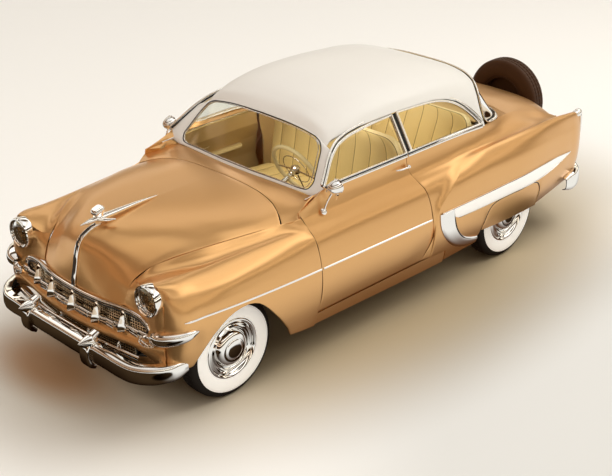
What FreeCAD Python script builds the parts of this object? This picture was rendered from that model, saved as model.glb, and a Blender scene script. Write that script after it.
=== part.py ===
import FreeCAD, Part
import math
import os
import re
import Sketcher

# A full-size two-door sedan of the early 1950s, built from separate pieces.
# Millimetres. The car faces -Y, its left side is +X and +Z is up. The origin is on the ground, midway
# along the car. Stations are measured back from the front axle.

os.makedirs("parts", exist_ok=True)
Vec = FreeCAD.Vector
doc = FreeCAD.newDocument("ClassicCar")

# ---------------------------------------------------------------- driving sizes
SIZES = (
    # alias, value, meaning
    ("front_axle", -1650, "place of the front axle from the origin"),
    ("wheelbase", 2921, "front axle to rear axle"),
    ("tyre_radius", 350, "tyre outside radius"),
    ("tyre_width", 170, "tyre section width"),
    ("rim_radius", 196, "bead seat radius"),
    ("rim_flange", 207, "outside radius of the rim flange"),
    ("rim_width", 140, "rim width over the flanges"),
    ("rim_wall", 6, "rim and disc wall"),
    ("drum_radius", 140, "brake drum outside radius"),
    ("front_wheel_place", 720, "front wheel centre plane from the middle of the car"),
    ("rear_wheel_place", 747, "rear wheel centre plane from the middle of the car"),
    ("spindle_radius", 20, "wheel spindle radius"),
    ("spindle_play", 0.05, "running clearance in a hub"),
    ("kingpin_place", 672, "kingpin from the middle of the car"),
    ("kingpin_radius", 14, "kingpin radius"),
    ("arm_low", 222, "height of the lower control arms"),
    ("arm_high", 478, "height of the upper control arms"),
    ("arm_depth", 26, "depth of a control arm"),
    ("rail_place", 380, "frame rail centre from the middle of the car"),
    ("rail_width", 70, "frame rail width"),
    ("rail_low", 262, "underside of the frame rails"),
    ("rail_high", 340, "top of the frame rails"),
    ("floor_high", 366, "top of the cabin floor"),
    ("floor_thick", 12, "floor panel with its ribs"),
    ("floor_half", 780, "half width of the cabin floor"),
    ("tyre_room", 600, "half width of the trunk floor between the rear tyres"),
    ("boot_floor", 548, "top of the trunk floor"),
    ("panel_gap", 7, "gap between body panels"),
    ("skin", 12, "fender wall with its flanges"),
    ("lid_thick", 22, "hood and trunk lid with their frames"),
    ("roof_thick", 28, "roof with its bows and lining"),
    ("glass_thick", 5, "window glass"),
    ("firewall_place", 645, "station of the firewall"),
    ("firewall_half", 700, "half width of the firewall"),
    ("engine_width", 460, "engine block width over the manifolds"),
    ("engine_length", 820, "engine block length"),
    ("engine_height", 560, "engine block height"),
    ("seat_half", 655, "half width of a bench seat"),
    ("column_place", 310, "steering column from the middle of the car"),
    ("column_hub", 1065, "station of the steering wheel hub"),
    ("column_high", 1145, "height of the steering wheel hub"),
    ("column_slope", 25, "slope of the steering column"),
    ("column_radius", 19, "steering column radius"),
    ("steering_radius", 200, "steering wheel rim radius"),
    ("steering_grip", 11, "steering wheel rim section radius"),
    ("axle_tube", 38, "rear axle tube radius"),
    ("final_drive", 120, "final drive housing radius"),
    ("spare_place", 3965, "station of the spare wheel centre plane"),
    ("spare_high", 875, "height of the spare wheel centre"),
    ("headlamp_place", 680, "headlamp centre from the middle of the car"),
    ("headlamp_high", 877, "headlamp centre height"),
    ("headlamp_radius", 106, "headlamp ring radius"),
    ("bucket_step", 36, "step from the headlamp ring in to the bucket behind it"),
    ("parking_radius", 40, "parking lamp radius"),
    ("tank_half", 320, "half width of the fuel tank"),
    ("exhaust_radius", 24, "exhaust pipe radius"),
    ("plate_bolts", 178, "spacing of the licence plate bolts"),
    ("plate_bolt_radius", 3.5, "radius of a licence plate bolt hole"),
)

sheet = doc.addObject("Spreadsheet::Sheet", "Sizes")
for line, (alias, value, meaning) in enumerate(SIZES, start=1):
    sheet.set("A%d" % line, meaning)
    sheet.set("B%d" % line, str(value))
    sheet.setAlias("B%d" % line, alias)
doc.recompute()
ALIASES = [alias for alias, value, meaning in SIZES]
ALIAS_WORDS = re.compile(r"\b(%s)\b" % "|".join(ALIASES))


def size(alias):
    """A driving size, read from the sheet."""
    return float(sheet.get(alias))


def linked(text):
    """An expression text with each size's name pointed at the sheet."""
    return ALIAS_WORDS.sub(r"Sizes.\1", str(text))


def value_of(text):
    """The present value of an expression text such as 'wheelbase / 2'."""
    probe = doc.getObject("Probe") or doc.addObject("App::FeaturePython", "Probe")
    if not hasattr(probe, "Reading"):
        probe.addProperty("App::PropertyFloat", "Reading")
    probe.setExpression("Reading", linked(text))
    probe.recompute()
    return probe.Reading


# ---------------------------------------------------------------- ways to make a piece
pieces = []


def keep(part, label):
    """Mark a document object as a finished piece with its own label."""
    part.Label = label
    pieces.append(part)
    return part


def bound(kind, name, **expressions):
    """A Part primitive whose properties follow the sheet. Place_x stands for Placement.Base.x."""
    part = doc.addObject("Part::" + kind, name)
    for prop, text in expressions.items():
        part.setExpression(prop.replace("Place_", "Placement.Base."), linked(text))
    return part


def turned(part, axis, degrees):
    """Turn a primitive about its own base point."""
    part.Placement.Rotation = FreeCAD.Rotation(axis, degrees)
    return part


def fused(name, parts):
    """One solid from overlapping primitives."""
    union = doc.addObject("Part::MultiFuse", name)
    union.Shapes = parts
    return union


def cut_out(name, base, tool):
    """The base with the tool's space removed."""
    rest = doc.addObject("Part::Cut", name)
    rest.Base = base
    rest.Tool = tool
    return rest


def both_sides(name, left):
    """The left piece with its mirror image on the right, as two solids."""
    right = doc.addObject("Part::Mirroring", name + "_mirror")
    right.Source = left
    right.Normal = Vec(1, 0, 0)
    pair = doc.addObject("Part::Compound", name)
    pair.Links = [left, right]
    return pair


def sketched(body, plane, corners, name):
    """A closed outline on one of the body's origin planes, each corner bound to the sheet."""
    sketch = body.newObject("Sketcher::SketchObject", name)
    sketch.AttachmentSupport = [(part, "") for part in body.Origin.OriginFeatures if part.Role == plane]
    sketch.MapMode = "FlatFace"
    points = [Vec(value_of(across), value_of(up), 0) for across, up in corners]
    count = len(points)
    for index in range(count):
        sketch.addGeometry(Part.LineSegment(points[index], points[(index + 1) % count]), False)
    for index in range(count):
        sketch.addConstraint(Sketcher.Constraint("Coincident", index, 2, (index + 1) % count, 1))
    for index, (across, up) in enumerate(corners):
        place = points[index]
        for kind, text, amount in (("DistanceX", across, place.x), ("DistanceY", up, place.y)):
            number = sketch.addConstraint(Sketcher.Constraint(kind, -1, 1, index, 1, amount))
            sketch.setExpression("Constraints[%d]" % number, linked(text))
    return sketch


def turned_body(name, corners):
    """A body of revolution about the X axis, from an outline of (along the axis, radius)."""
    body = doc.addObject("PartDesign::Body", name)
    sketch = sketched(body, "XZ_Plane", corners, name + "_outline")
    revolution = body.newObject("PartDesign::Revolution", name + "_turned")
    revolution.Profile = sketch
    revolution.ReferenceAxis = (sketch, ["H_Axis"])
    revolution.Angle = 360
    sketch.Visibility = False
    return body


def padded_body(name, corners, width):
    """A body padded evenly to both sides of the middle, from a side outline of (station, height)."""
    body = doc.addObject("PartDesign::Body", name)
    sketch = sketched(body, "YZ_Plane", corners, name + "_outline")
    pad = body.newObject("PartDesign::Pad", name + "_pad")
    pad.Profile = sketch
    pad.Midplane = True
    pad.setExpression("Length", linked(width))
    body.setExpression("Placement.Base.y", linked("front_axle"))
    return body


def shaped(name, shape):
    """A piece with a shape of its own, made at its station and then put in its place."""
    part = doc.addObject("Part::Feature", name)
    part.Shape = shape
    part.Placement = FreeCAD.Placement(Vec(0, size("front_axle"), 0), FreeCAD.Rotation())
    return part


FLAT_WITHIN = 1e-6


def ruled(outlines):
    """A solid with straight rulings between closed outlines of equally many corners."""
    rings = [[Vec(*corner) for corner in outline] for outline in outlines]
    faces = [Part.Face(Part.makePolygon(ring + ring[:1])) for ring in (rings[0], rings[-1])]
    for near, far in zip(rings, rings[1:]):
        for index in range(len(near)):
            after = (index + 1) % len(near)
            a, b, c, d = near[index], near[after], far[after], far[index]
            normal = (b - a).cross(d - a)
            twist = abs(normal.dot(c - a)) / normal.Length
            if twist < FLAT_WITHIN:
                faces.append(Part.Face(Part.makePolygon([a, b, c, d, a])))
            else:
                faces.append(Part.makeRuledSurface(Part.makeLine(a, b), Part.makeLine(d, c)))
    sewn = Part.makeShell(faces)
    sewn.sewShape()
    solid = Part.makeSolid(sewn)
    return solid.reversed() if solid.Volume < 0 else solid


def inset(chain, depth):
    """An open chain of (across, height) moved inwards by depth. It runs outwards, then down."""
    moved = []
    for index, (across, high) in enumerate(chain):
        normals = []
        for first, last in ((index - 1, index), (index, index + 1)):
            if first >= 0 and last < len(chain):
                run = chain[last][0] - chain[first][0]
                rise = chain[last][1] - chain[first][1]
                length = math.hypot(run, rise)
                normals.append((rise / length, -run / length))
        side = sum(normal[0] for normal in normals) / len(normals)
        down = sum(normal[1] for normal in normals) / len(normals)
        scale = depth / (side * side + down * down)
        moved.append((across + side * scale, high + down * scale))
    return moved


def shell(rows, depth):
    """A wall through rows of (station, chain of (across, height)), depth thick."""
    outlines = []
    for station, chain in rows:
        closed = list(chain) + inset(chain, depth)[::-1]
        outlines.append([(across, station, high) for across, high in closed])
    return ruled(outlines)


def full_width(half):
    """A chain across the whole car from its left half, which starts on the middle line."""
    return [(-across, high) for across, high in list(half)[:0:-1]] + list(half)


def side_prism(outline, low, high):
    """The space of a side outline of (station, height) between two places across the car."""
    corners = [Vec(low, station, up) for station, up in outline]
    face = Part.Face(Part.makePolygon(corners + corners[:1]))
    return face.extrude(Vec(high - low, 0, 0))


def plan_prism(outline, low, high):
    """The space of a plan outline of (across, station) between two heights."""
    corners = [Vec(across, station, low) for across, station in outline]
    face = Part.Face(Part.makePolygon(corners + corners[:1]))
    return face.extrude(Vec(0, 0, high - low))


def block(low, high):
    """A plain box between two corners."""
    return Part.makeBox(high[0] - low[0], high[1] - low[1], high[2] - low[2], Vec(*low))


def mirrored(shape):
    """The shape seen in the car's middle plane."""
    return shape.mirror(Vec(0, 0, 0), Vec(1, 0, 0))


def pair_of(shape):
    """The left shape and its mirror image."""
    return Part.makeCompound([shape, mirrored(shape)])


def between(rows, station):
    """The chain at a station, read between a table's neighbouring rows."""
    for (front, front_chain), (back, back_chain) in zip(rows, rows[1:]):
        if front <= station <= back:
            share = (station - front) / (back - front)
            return [
                (a[0] + share * (b[0] - a[0]), a[1] + share * (b[1] - a[1]))
                for a, b in zip(front_chain, back_chain)
            ]
    raise ValueError("station %s is outside the table" % station)


# ---------------------------------------------------------------- body sections
# Front body. Columns: station, then (across, height) of the hood's middle, its shoulder, the seam beside
# it, the fender crest, upper side, widest point, lower side and sill.
FRONT_BODY = (
    (-547, (0, 1045), (300, 990), (436, 868), (690, 976), (800, 900), (850, 745), (842, 560), (820, 430)),
    (-400, (0, 1118), (360, 1060), (500, 965), (705, 978), (850, 905), (905, 760), (885, 560), (862, 400)),
    (-200, (0, 1138), (430, 1090), (600, 1035), (740, 985), (875, 905), (930, 760), (925, 560), (905, 400)),
    (0, (0, 1148), (490, 1105), (655, 1055), (770, 992), (890, 910), (940, 760), (935, 540), (910, 380)),
    (300, (0, 1152), (540, 1115), (705, 1058), (795, 1000), (900, 920), (945, 760), (938, 520), (905, 340)),
    (600, (0, 1152), (580, 1115), (755, 1055), (815, 1010), (905, 925), (948, 755), (938, 500), (890, 285)),
    (740, (0, 1140), (580, 1122), (770, 1070), (822, 1020), (906, 928), (948, 752), (938, 500), (886, 280)),
)
# The hood's nose in front of those sections. Columns: station, then the middle, shoulder and seam.
HOOD_NOSE = (
    (-628, (0, 842), (300, 820), (425, 795)),
    (-606, (0, 925), (300, 872), (430, 812)),
)
# Door side. Columns: (across, height) of the belt, shoulder, crease, upper side, widest point, lower side
# and bottom edge, then of the inner panel at the same heights.
DOOR_SKIN = ((781, 1205), (790, 1130), (812, 1062), (905, 930), (948, 750), (938, 500), (914, 400))
DOOR_PANEL = ((738, 1190), (738, 1130), (748, 1050), (836, 905), (884, 748), (876, 512), (856, 412))
# Rear quarter. Columns: station, then (across, height) of the edge beside the window, deck or lid, the
# shoulder, the fender crest, upper side, widest point, lower side and sill.
REAR_BODY = (
    (1690, (781, 1205), (790, 1130), (812, 1062), (905, 930), (948, 750), (938, 500), (880, 275)),
    (1900, (775, 1205), (788, 1130), (820, 1062), (920, 930), (958, 770), (945, 500), (875, 270)),
    (2300, (750, 1195), (780, 1130), (866, 1045), (950, 930), (973, 750), (960, 480), (880, 290)),
    (2650, (702, 1165), (742, 1110), (866, 1048), (948, 930), (972, 745), (955, 490), (885, 310)),
    (2900, (644, 1138), (702, 1092), (862, 1052), (945, 930), (970, 740), (950, 500), (890, 330)),
    (3200, (606, 1102), (682, 1045), (850, 1046), (925, 930), (948, 730), (928, 500), (870, 360)),
    (3400, (600, 1048), (672, 1000), (830, 1040), (905, 930), (925, 720), (905, 500), (850, 380)),
    (3840, (590, 902), (640, 862), (785, 972), (838, 880), (858, 700), (838, 520), (798, 430)),
)
# Rear deck and trunk lid. Columns: station, then (across, height) of the middle and the shoulder. The
# outer edge follows the quarter's edge.
REAR_DECK = (
    (2860, (0, 1180), (420, 1168)),
    (3060, (0, 1174), (420, 1160)),
    (3300, (0, 1140), (420, 1122)),
    (3500, (0, 1100), (420, 1078)),
    (3670, (0, 1050), (420, 1024)),
    (3840, (0, 975), (420, 948)),
)
# Roof. Columns: station, then (across, height) of the middle, inner and outer shoulder, rail and belt.
ROOF = (
    (1045, (0, 1508), (300, 1498), (480, 1468), (580, 1422), (700, 1212)),
    (1150, (0, 1588), (300, 1573), (505, 1528), (612, 1440), (760, 1212)),
    (1400, (0, 1655), (300, 1642), (530, 1590), (635, 1462), (784, 1221)),
    (1750, (0, 1675), (300, 1662), (540, 1608), (640, 1480), (784, 1221)),
    (2100, (0, 1664), (300, 1650), (540, 1596), (642, 1474), (772, 1223)),
    (2450, (0, 1618), (300, 1606), (545, 1552), (658, 1416), (745, 1208)),
    (2690, (0, 1546), (300, 1532), (540, 1470), (667, 1336), (722, 1176)),
    (2830, (0, 1488), (300, 1474), (520, 1412), (672, 1262), (690, 1166)),
)

# Side outlines of (station, height). The door's rear edge leans so that its inner corner clears the post.
DOOR_FRONT_EDGE = ((664, 400), (680, 473), (674, 807), (651, 1009), (606, 1118))
DOOR_TOP_EDGE = ((720, 1150), (858, 1206))
DOOR_REAR_EDGE = ((1700, 1206), (1697, 1095), (1775, 977), (1802, 856), (1826, 552), (1756, 400))
FRONT_ARCH = ((-440, 200), (-392, 377), (-330, 520), (-200, 668), (-90, 715), (20, 722), (110, 690),
              (200, 610), (300, 498), (396, 377), (440, 200))
REAR_ARCH = ((2415, 200), (2420, 418), (2455, 560), (2530, 620), (2620, 634), (3080, 620), (3165, 560),
             (3180, 430), (3180, 200))
SIDE_GLASS_TOP = ((858, 1206), (985, 1335), (1100, 1410), (1350, 1452), (1690, 1468))
QUARTER_GLASS = ((1758, 1214), (1758, 1462), (1800, 1464), (2150, 1450), (2350, 1396), (2480, 1300),
                 (2548, 1214))


def rows_of(table, first, last):
    """The table's rows as (station, chain), with only the columns first to last of each chain."""
    return [(row[0], list(row[1:])[first:last]) for row in table]


def outward(chain, amount):
    """The chain with its first corner moved across the car."""
    return [(chain[0][0] + amount, chain[0][1])] + list(chain[1:])


def inward_end(chain, amount):
    """The chain with its last corner moved towards the middle."""
    return list(chain[:-1]) + [(chain[-1][0] - amount, chain[-1][1])]


# Place of the tumblehome: the side glass leans in from the belt to the rail.
GLASS_BELT = (780, 1206)
GLASS_LEAN = 0.61


def glass_place(high):
    """How far from the middle the side glass surface is at a height."""
    return GLASS_BELT[0] - GLASS_LEAN * (high - GLASS_BELT[1])


def grown(outline, amount):
    """A closed outline moved outwards by amount along each edge's normal."""
    count = len(outline)
    area = sum(
        outline[index - 1][0] * outline[index][1] - outline[index][0] * outline[index - 1][1]
        for index in range(count))
    turn = 1 if area > 0 else -1
    moved = []
    for index in range(count):
        normals = []
        for first, last in ((index - 1, index), (index, (index + 1) % count)):
            run = outline[last][0] - outline[first][0]
            rise = outline[last][1] - outline[first][1]
            length = math.hypot(run, rise)
            normals.append((turn * rise / length, -turn * run / length))
        out_y = (normals[0][0] + normals[1][0]) / 2
        out_z = (normals[0][1] + normals[1][1]) / 2
        scale = amount / (out_y * out_y + out_z * out_z)
        moved.append((outline[index][0] + out_y * scale, outline[index][1] + out_z * scale))
    return moved


# ---------------------------------------------------------------- the door's outline
DOOR_SHUT_LEAN = 0.34
DOOR_SHUT_SKIN = (790, 790, 890, 920, 935, 912)


def door_space(grow):
    """The space of the lower door. Its rear shut face leans back towards the outside of the car."""
    inner, outer = 560, 1000
    outlines = []
    for place in (inner, outer):
        front = [(station - grow, high) for station, high in DOOR_FRONT_EDGE]
        top = [(station, high + grow) for station, high in DOOR_TOP_EDGE]
        rear = []
        for (station, high), skin_place in zip(DOOR_REAR_EDGE, DOOR_SHUT_SKIN):
            rear.append((station + grow + DOOR_SHUT_LEAN * (place - skin_place), high))
        front[0] = (front[0][0], front[0][1] - grow)
        front[-1] = (front[-1][0], front[-1][1] + grow)
        rear[0] = (rear[0][0], rear[0][1] + grow)
        rear[-1] = (rear[-1][0], rear[-1][1] - grow)
        outlines.append([(place, station, high) for station, high in front + top + rear])
    return ruled(outlines)


def sash_outline(grow):
    """Side outline of the door's window frame, from the belt up to the roof rail."""
    top = [(station - grow, high + grow) for station, high in SIDE_GLASS_TOP]
    top[-1] = (SIDE_GLASS_TOP[-1][0] + grow, top[-1][1])
    return [(SIDE_GLASS_TOP[0][0] - grow, 1206)] + top[1:] + [(SIDE_GLASS_TOP[-1][0] + grow, 1206)]


def footed(outline, high):
    """The outline with its first and last corners slid along their own edges to another height."""
    ends = []
    for end, beside in ((outline[0], outline[1]), (outline[-1], outline[-2])):
        share = (high - beside[1]) / (end[1] - beside[1])
        ends.append((beside[0] + share * (end[0] - beside[0]), high))
    return [ends[0]] + list(outline[1:-1]) + [ends[1]]


def leaning_slab(outline, near, far):
    """The space of a side outline between two surfaces parallel to the leaning side glass."""
    outlines = []
    for depth in (near, far):
        outlines.append([(glass_place(high) - depth, station, high) for station, high in outline])
    return ruled(outlines)


# ---------------------------------------------------------------- hood, cowl and firewall
# Plan line of the hood's rear edge, half of the car. Columns: across, station.
HOOD_REAR_EDGE = ((0, 625), (420, 625), (620, 566), (745, 495), (900, 495))
HOOD_FRONT = -700
HOOD_LIP = 752
HOOD_HALF = 800
NOSE_DEPTH = 95
COWL_BACK = 800
COWL_LOW = 900
COWL_HALF = 900
COWL_CLEARANCE = 18
ABOVE_BODY = 1300
# The firewall stands between these heights, and its top follows the cowl this far below the surface.
WALL_LOW = 395
WALL_SHOULDER = 1066
WALL_UNDER_COWL = 8
WALL_THICK = 14


def hood_and_cowl():
    gap = size("panel_gap") / 2
    rows = []
    for station, chain in rows_of(FRONT_BODY, 0, 3):
        rows.append((station, full_width(inward_end(chain, gap))))
    nose = [(row[0], full_width(list(row[1:]))) for row in HOOD_NOSE]
    thick = size("lid_thick")
    whole = shell(rows, thick).fuse(shell(nose + rows[:1], NOSE_DEPTH)).removeSplitter()
    hood_rear = [(across, station - gap) for across, station in HOOD_REAR_EDGE[::-1]]
    hood_plan = [(-HOOD_HALF, HOOD_FRONT), (HOOD_HALF, HOOD_FRONT)]
    hood_plan += hood_rear + [(-across, station) for across, station in hood_rear[::-1][1:]]
    hood = whole.common(plan_prism(hood_plan, HOOD_LIP, ABOVE_BODY))
    cowl_rear = [(across, station + gap) for across, station in HOOD_REAR_EDGE[::-1]]
    cowl_plan = cowl_rear + [(-across, station) for across, station in cowl_rear[::-1][1:]]
    cowl_plan += [(-COWL_HALF, COWL_BACK), (COWL_HALF, COWL_BACK)]
    cowl = whole.common(plan_prism(cowl_plan, COWL_LOW, ABOVE_BODY))
    # The cowl's corners are cut away where the fenders and doors stand.
    clear = size("firewall_half") + COWL_CLEARANCE
    for low, high in ((-COWL_HALF, -clear), (clear, COWL_HALF)):
        cowl = cowl.cut(block((low, 590, COWL_LOW), (high, COWL_BACK, ABOVE_BODY)))
    wall_place = size("firewall_place")
    wall_half = size("firewall_half")
    wall_top = inset(full_width(between(rows_of(FRONT_BODY, 0, 2), wall_place)), WALL_UNDER_COWL)
    wall = [(-wall_half, wall_place, WALL_LOW), (wall_half, wall_place, WALL_LOW)]
    wall += [(wall_half, wall_place, WALL_SHOULDER)]
    wall += [(across, wall_place, high) for across, high in wall_top[::-1]]
    wall += [(-wall_half, wall_place, WALL_SHOULDER)]
    face = Part.Face(Part.makePolygon([Vec(*corner) for corner in wall + wall[:1]]))
    return hood, cowl.fuse(face.extrude(Vec(0, WALL_THICK, 0))).removeSplitter()


hood_shape, cowl_shape = hood_and_cowl()
keep(shaped("hood_panel", hood_shape), "hood")
keep(shaped("firewall_panel", cowl_shape), "firewall")


# ---------------------------------------------------------------- front fenders and nose
INSIDE_SIDES = 600
OUTSIDE_SIDES = 1100
FENDER_FACE = -547
FENDER_FACE_DEPTH = 17
# Corners of the fender's front face below the lamp, from the outside round to the hood's lip.
FENDER_FACE_LOW = ((846, 700), (700, 700), (560, 732), (437, 752))
# The headlamp ring's front, and how deep the ring and the bucket behind it are.
LAMP_FRONT = -596
LAMP_RING = 48
LAMP_BUCKET = 115
FENDER_BACK = 661
SILL_END = ((396, 200), (396, 377), (440, 326), (520, 300), (800, 292), (800, 200))


def front_fender():
    gap = size("panel_gap") / 2
    rows = [(station, outward(chain, gap)) for station, chain in rows_of(FRONT_BODY, 2, 8)]
    wall = shell(rows, size("skin"))
    front = rows[0][1]
    face = [Vec(across, FENDER_FACE, high) for across, high in tuple(front[:4]) + FENDER_FACE_LOW]
    cap = Part.Face(Part.makePolygon(face + face[:1])).extrude(Vec(0, FENDER_FACE_DEPTH, 0))
    lamp_hole = Part.makeCylinder(
        size("headlamp_radius") - size("bucket_step") + 2, LAMP_BUCKET,
        Vec(size("headlamp_place"), LAMP_FRONT, size("headlamp_high")), Vec(0, 1, 0))
    fender = wall.fuse(cap).cut(lamp_hole)
    fender = fender.cut(side_prism(FRONT_ARCH, INSIDE_SIDES, OUTSIDE_SIDES))
    fender = fender.cut(door_space(size("panel_gap")))
    # Behind the door's front edge, below and above the door itself.
    for low, high in ((200, 400), (1000, ABOVE_BODY)):
        fender = fender.cut(block((INSIDE_SIDES, FENDER_BACK, low), (OUTSIDE_SIDES, 800, high)))
    return fender.cut(side_prism(SILL_END, INSIDE_SIDES, OUTSIDE_SIDES)).removeSplitter()


fender_shape = front_fender()
keep(shaped("front_fender_pair", pair_of(fender_shape)), "front_fenders")


# The nose panel between the fenders. Outline: half of the car, (across, height), from the middle of the
# top down to the bottom corner. Openings: whole outlines of (across, height).
NOSE_OUTLINE = ((0, 745), (300, 735), (428, 742), (560, 722), (690, 690), (835, 690), (832, 560), (825, 405),
                (700, 395))
NOSE_FACES = (-577, -562)
GRILLE_HOLE = ((-660, 570), (660, 570), (672, 640), (600, 678), (300, 712), (-300, 712), (-600, 678),
               (-672, 640))
LOWER_HOLE = ((-500, 425), (500, 425), (500, 492), (-500, 492))


def nose_panel():
    """The body-colour panel round and below the grille, between the fenders."""
    outlines = []
    for station in NOSE_FACES:
        outlines.append([(across, station, high) for across, high in full_width(NOSE_OUTLINE)])
    panel = ruled(outlines)
    for hole in (GRILLE_HOLE, LOWER_HOLE):
        corners = [Vec(across, -600, high) for across, high in hole]
        face = Part.Face(Part.makePolygon(corners + corners[:1]))
        panel = panel.cut(face.extrude(Vec(0, 80, 0)))
    return panel


keep(shaped("nose_shape", nose_panel()), "nose_panel")


TOOTH_SPACING = 215
TOOTH_HALF = 14
TEETH = (-2, -1, 0, 1, 2)


def grille():
    """The mesh behind the opening, and the bar with its upright teeth in front of it."""
    mesh = block((-655, -545, 574), (655, -535, 706))
    parts = [block((-640, -588, 632), (640, -560, 652))]
    for tooth in TEETH:
        middle = tooth * TOOTH_SPACING
        parts.append(block((middle - TOOTH_HALF, -592, 580), (middle + TOOTH_HALF, -540, 690)))
    return mesh.multiFuse(parts).removeSplitter()


keep(shaped("grille_shape", grille()), "grille")
keep(shaped("lower_grille_shape", block((-494, -552, 429), (494, -540, 488))), "lower_grille")


# ---------------------------------------------------------------- lamps
def headlamp():
    place = Vec(size("headlamp_place"), LAMP_FRONT, size("headlamp_high"))
    radius = size("headlamp_radius")
    ring = Part.makeCylinder(radius, LAMP_RING, place, Vec(0, 1, 0))
    bucket = Part.makeCylinder(radius - size("bucket_step"), LAMP_BUCKET, place, Vec(0, 1, 0))
    return ring.fuse(bucket).removeSplitter()


keep(shaped("headlamp_pair", pair_of(headlamp())), "headlamps")
lamp = Part.makeCylinder(size("parking_radius"), 19, Vec(700, -596, 612), Vec(0, 1, 0))
keep(shaped("parking_lamp_pair", pair_of(lamp)), "parking_lamps")


def tail_lamp():
    """A lamp that grows from its foot up to its cap."""
    low = [(755, 3856, 700), (808, 3856, 700), (808, 3880, 700), (755, 3880, 700)]
    high = [(755, 3856, 955), (805, 3856, 955), (805, 3912, 955), (755, 3912, 955)]
    return ruled([low, high])


keep(shaped("tail_lamp_pair", pair_of(tail_lamp())), "tail_lamps")


# ---------------------------------------------------------------- doors
SASH_WIDTH = 26
SASH_DEPTH = 18
SASH_FOOT = 1198
GLASS_FOOT = 1207
GLASS_DEPTH = 7
GLASS_CLEARANCE = 0.5
DOOR_WALL = 20
DOOR_CORE_INSET = 12
DOOR_CORE_FRONT = 702
DOOR_ENDS = (590, 1850)


def door():
    """The outer skin, the core with its inner panel, and the window frame above them."""
    skin = shell([(station, DOOR_SKIN) for station in DOOR_ENDS], DOOR_WALL)
    skin = skin.common(door_space(0))
    corners = inset(DOOR_SKIN, DOOR_CORE_INSET) + list(DOOR_PANEL[::-1])
    core = ruled([
        [(across, station, high) for across, high in corners] for station in (DOOR_CORE_FRONT, DOOR_ENDS[1])])
    core_space = block((INSIDE_SIDES, DOOR_CORE_FRONT, 412), (1000, 1900, 1204))
    core = core.common(door_space(0)).common(core_space)
    sash = leaning_slab(footed(sash_outline(0), SASH_FOOT), 0, SASH_DEPTH)
    opening = footed(grown(sash_outline(0), -SASH_WIDTH), SASH_FOOT - 48)
    sash = sash.cut(leaning_slab(opening, -60, 80))
    return skin.fuse(core).fuse(sash).removeSplitter()


def door_glass():
    """The door's window, a hair smaller than the frame round it."""
    outline = footed(grown(sash_outline(0), -SASH_WIDTH - GLASS_CLEARANCE), GLASS_FOOT)
    return leaning_slab(outline, GLASS_DEPTH, GLASS_DEPTH + size("glass_thick"))


def mirror_piece():
    """The round spot mirror on its leaning foot."""
    foot = Part.makeCylinder(14, 150, Vec(803, 815, 1085), Vec(0.38, 0.42, 0.82))
    head = Part.makeCylinder(52, 60, Vec(850, 868, 1216), Vec(0, 1, 0))
    return foot.fuse(head).removeSplitter()


door_shape = door()
door_shape = door_shape.cut(mirror_piece())
for name, shape in (("door", door_shape), ("door_window", door_glass()), ("mirror", mirror_piece())):
    keep(shaped(name + "_left_shape", shape), name + "_left")
    keep(shaped(name + "_right_shape", mirrored(shape)), name + "_right")


# ---------------------------------------------------------------- rockers, quarters and tail
ROCKER_HIGH = 386
# Columns: station, underside.
ROCKER_ROWS = ((668, 292), (1750, 275), (2039, 275))


def rocker():
    """The sill under the door."""
    rows = []
    for station, low in ROCKER_ROWS:
        rows.append([
            (908, station, ROCKER_HIGH), (882, station, low),
            (800, station, low), (800, station, ROCKER_HIGH)])
    return ruled(rows)


keep(shaped("rocker_pair", pair_of(rocker())), "rockers")


QUARTER_END = 3830
QUARTER_END_DEPTH = 20
UNDER_DOOR = ((1600, 200), (1600, 392), (2046, 392), (2046, 200))


def quarter_panel():
    """The rear fender with the side under the window, closed at the rear round the lamp."""
    rows = rows_of(REAR_BODY, 0, 7)
    wall = shell(rows, size("skin"))
    rear = [Vec(across, QUARTER_END, high) for across, high in rows[-1][1] + [(600, 430)]]
    cap = Part.Face(Part.makePolygon(rear + rear[:1])).extrude(Vec(0, QUARTER_END_DEPTH, 0))
    quarter = wall.fuse(cap)
    quarter = quarter.cut(door_space(size("panel_gap")))
    for outline in (REAR_ARCH, UNDER_DOOR):
        quarter = quarter.cut(side_prism(outline, 500, OUTSIDE_SIDES))
    return max(quarter.Solids, key=lambda solid: solid.Volume).removeSplitter()


quarter_shape = quarter_panel()
keep(shaped("quarter_panel_pair", pair_of(quarter_shape)), "quarter_panels")


def skirt():
    """The panel that closes the upper part of the rear wheel's opening."""
    rows = rows_of(REAR_BODY, 3, 7)
    wall = shell(rows, size("skin"))
    gap = size("panel_gap")
    outline = ((2420 + gap, 420), (2458 + gap, 556), (2533, 613), (2620, 634 - gap), (3078, 620 - gap),
               (3160 - gap, 556), (3178 - gap, 430))
    return wall.common(side_prism(outline, 700, OUTSIDE_SIDES))


keep(shaped("skirt_pair", pair_of(skirt())), "fender_skirts")


LID_FRONT = 3060
LID_BACK = 3838
DECK_FRONT = 2700
DECK_EDGE_ROOM = 10


def deck_rows():
    """The deck's sections, a gap inside the quarter panels' edges."""
    edge = rows_of(REAR_BODY, 0, 1)
    rows = []
    for station, middle, shoulder in REAR_DECK:
        across, high = between(edge, station)[0]
        across -= size("panel_gap") + DECK_EDGE_ROOM
        rows.append((station, full_width([middle, shoulder, (across, high)])))
    return rows


def deck_and_lid():
    """The fixed deck behind the rear window, and the trunk lid behind it."""
    gap = size("panel_gap") / 2
    whole = shell(deck_rows(), size("lid_thick"))
    deck = whole.common(block((-900, DECK_FRONT, 500), (900, LID_FRONT - gap, 1400)))
    lid = whole.common(block((-900, LID_FRONT + gap, 500), (900, LID_BACK, 1400)))
    return deck, lid


deck_shape, lid_shape = deck_and_lid()
keep(shaped("rear_deck_shape", deck_shape), "rear_deck")
keep(shaped("trunk_lid_shape", lid_shape), "trunk_lid")


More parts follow.
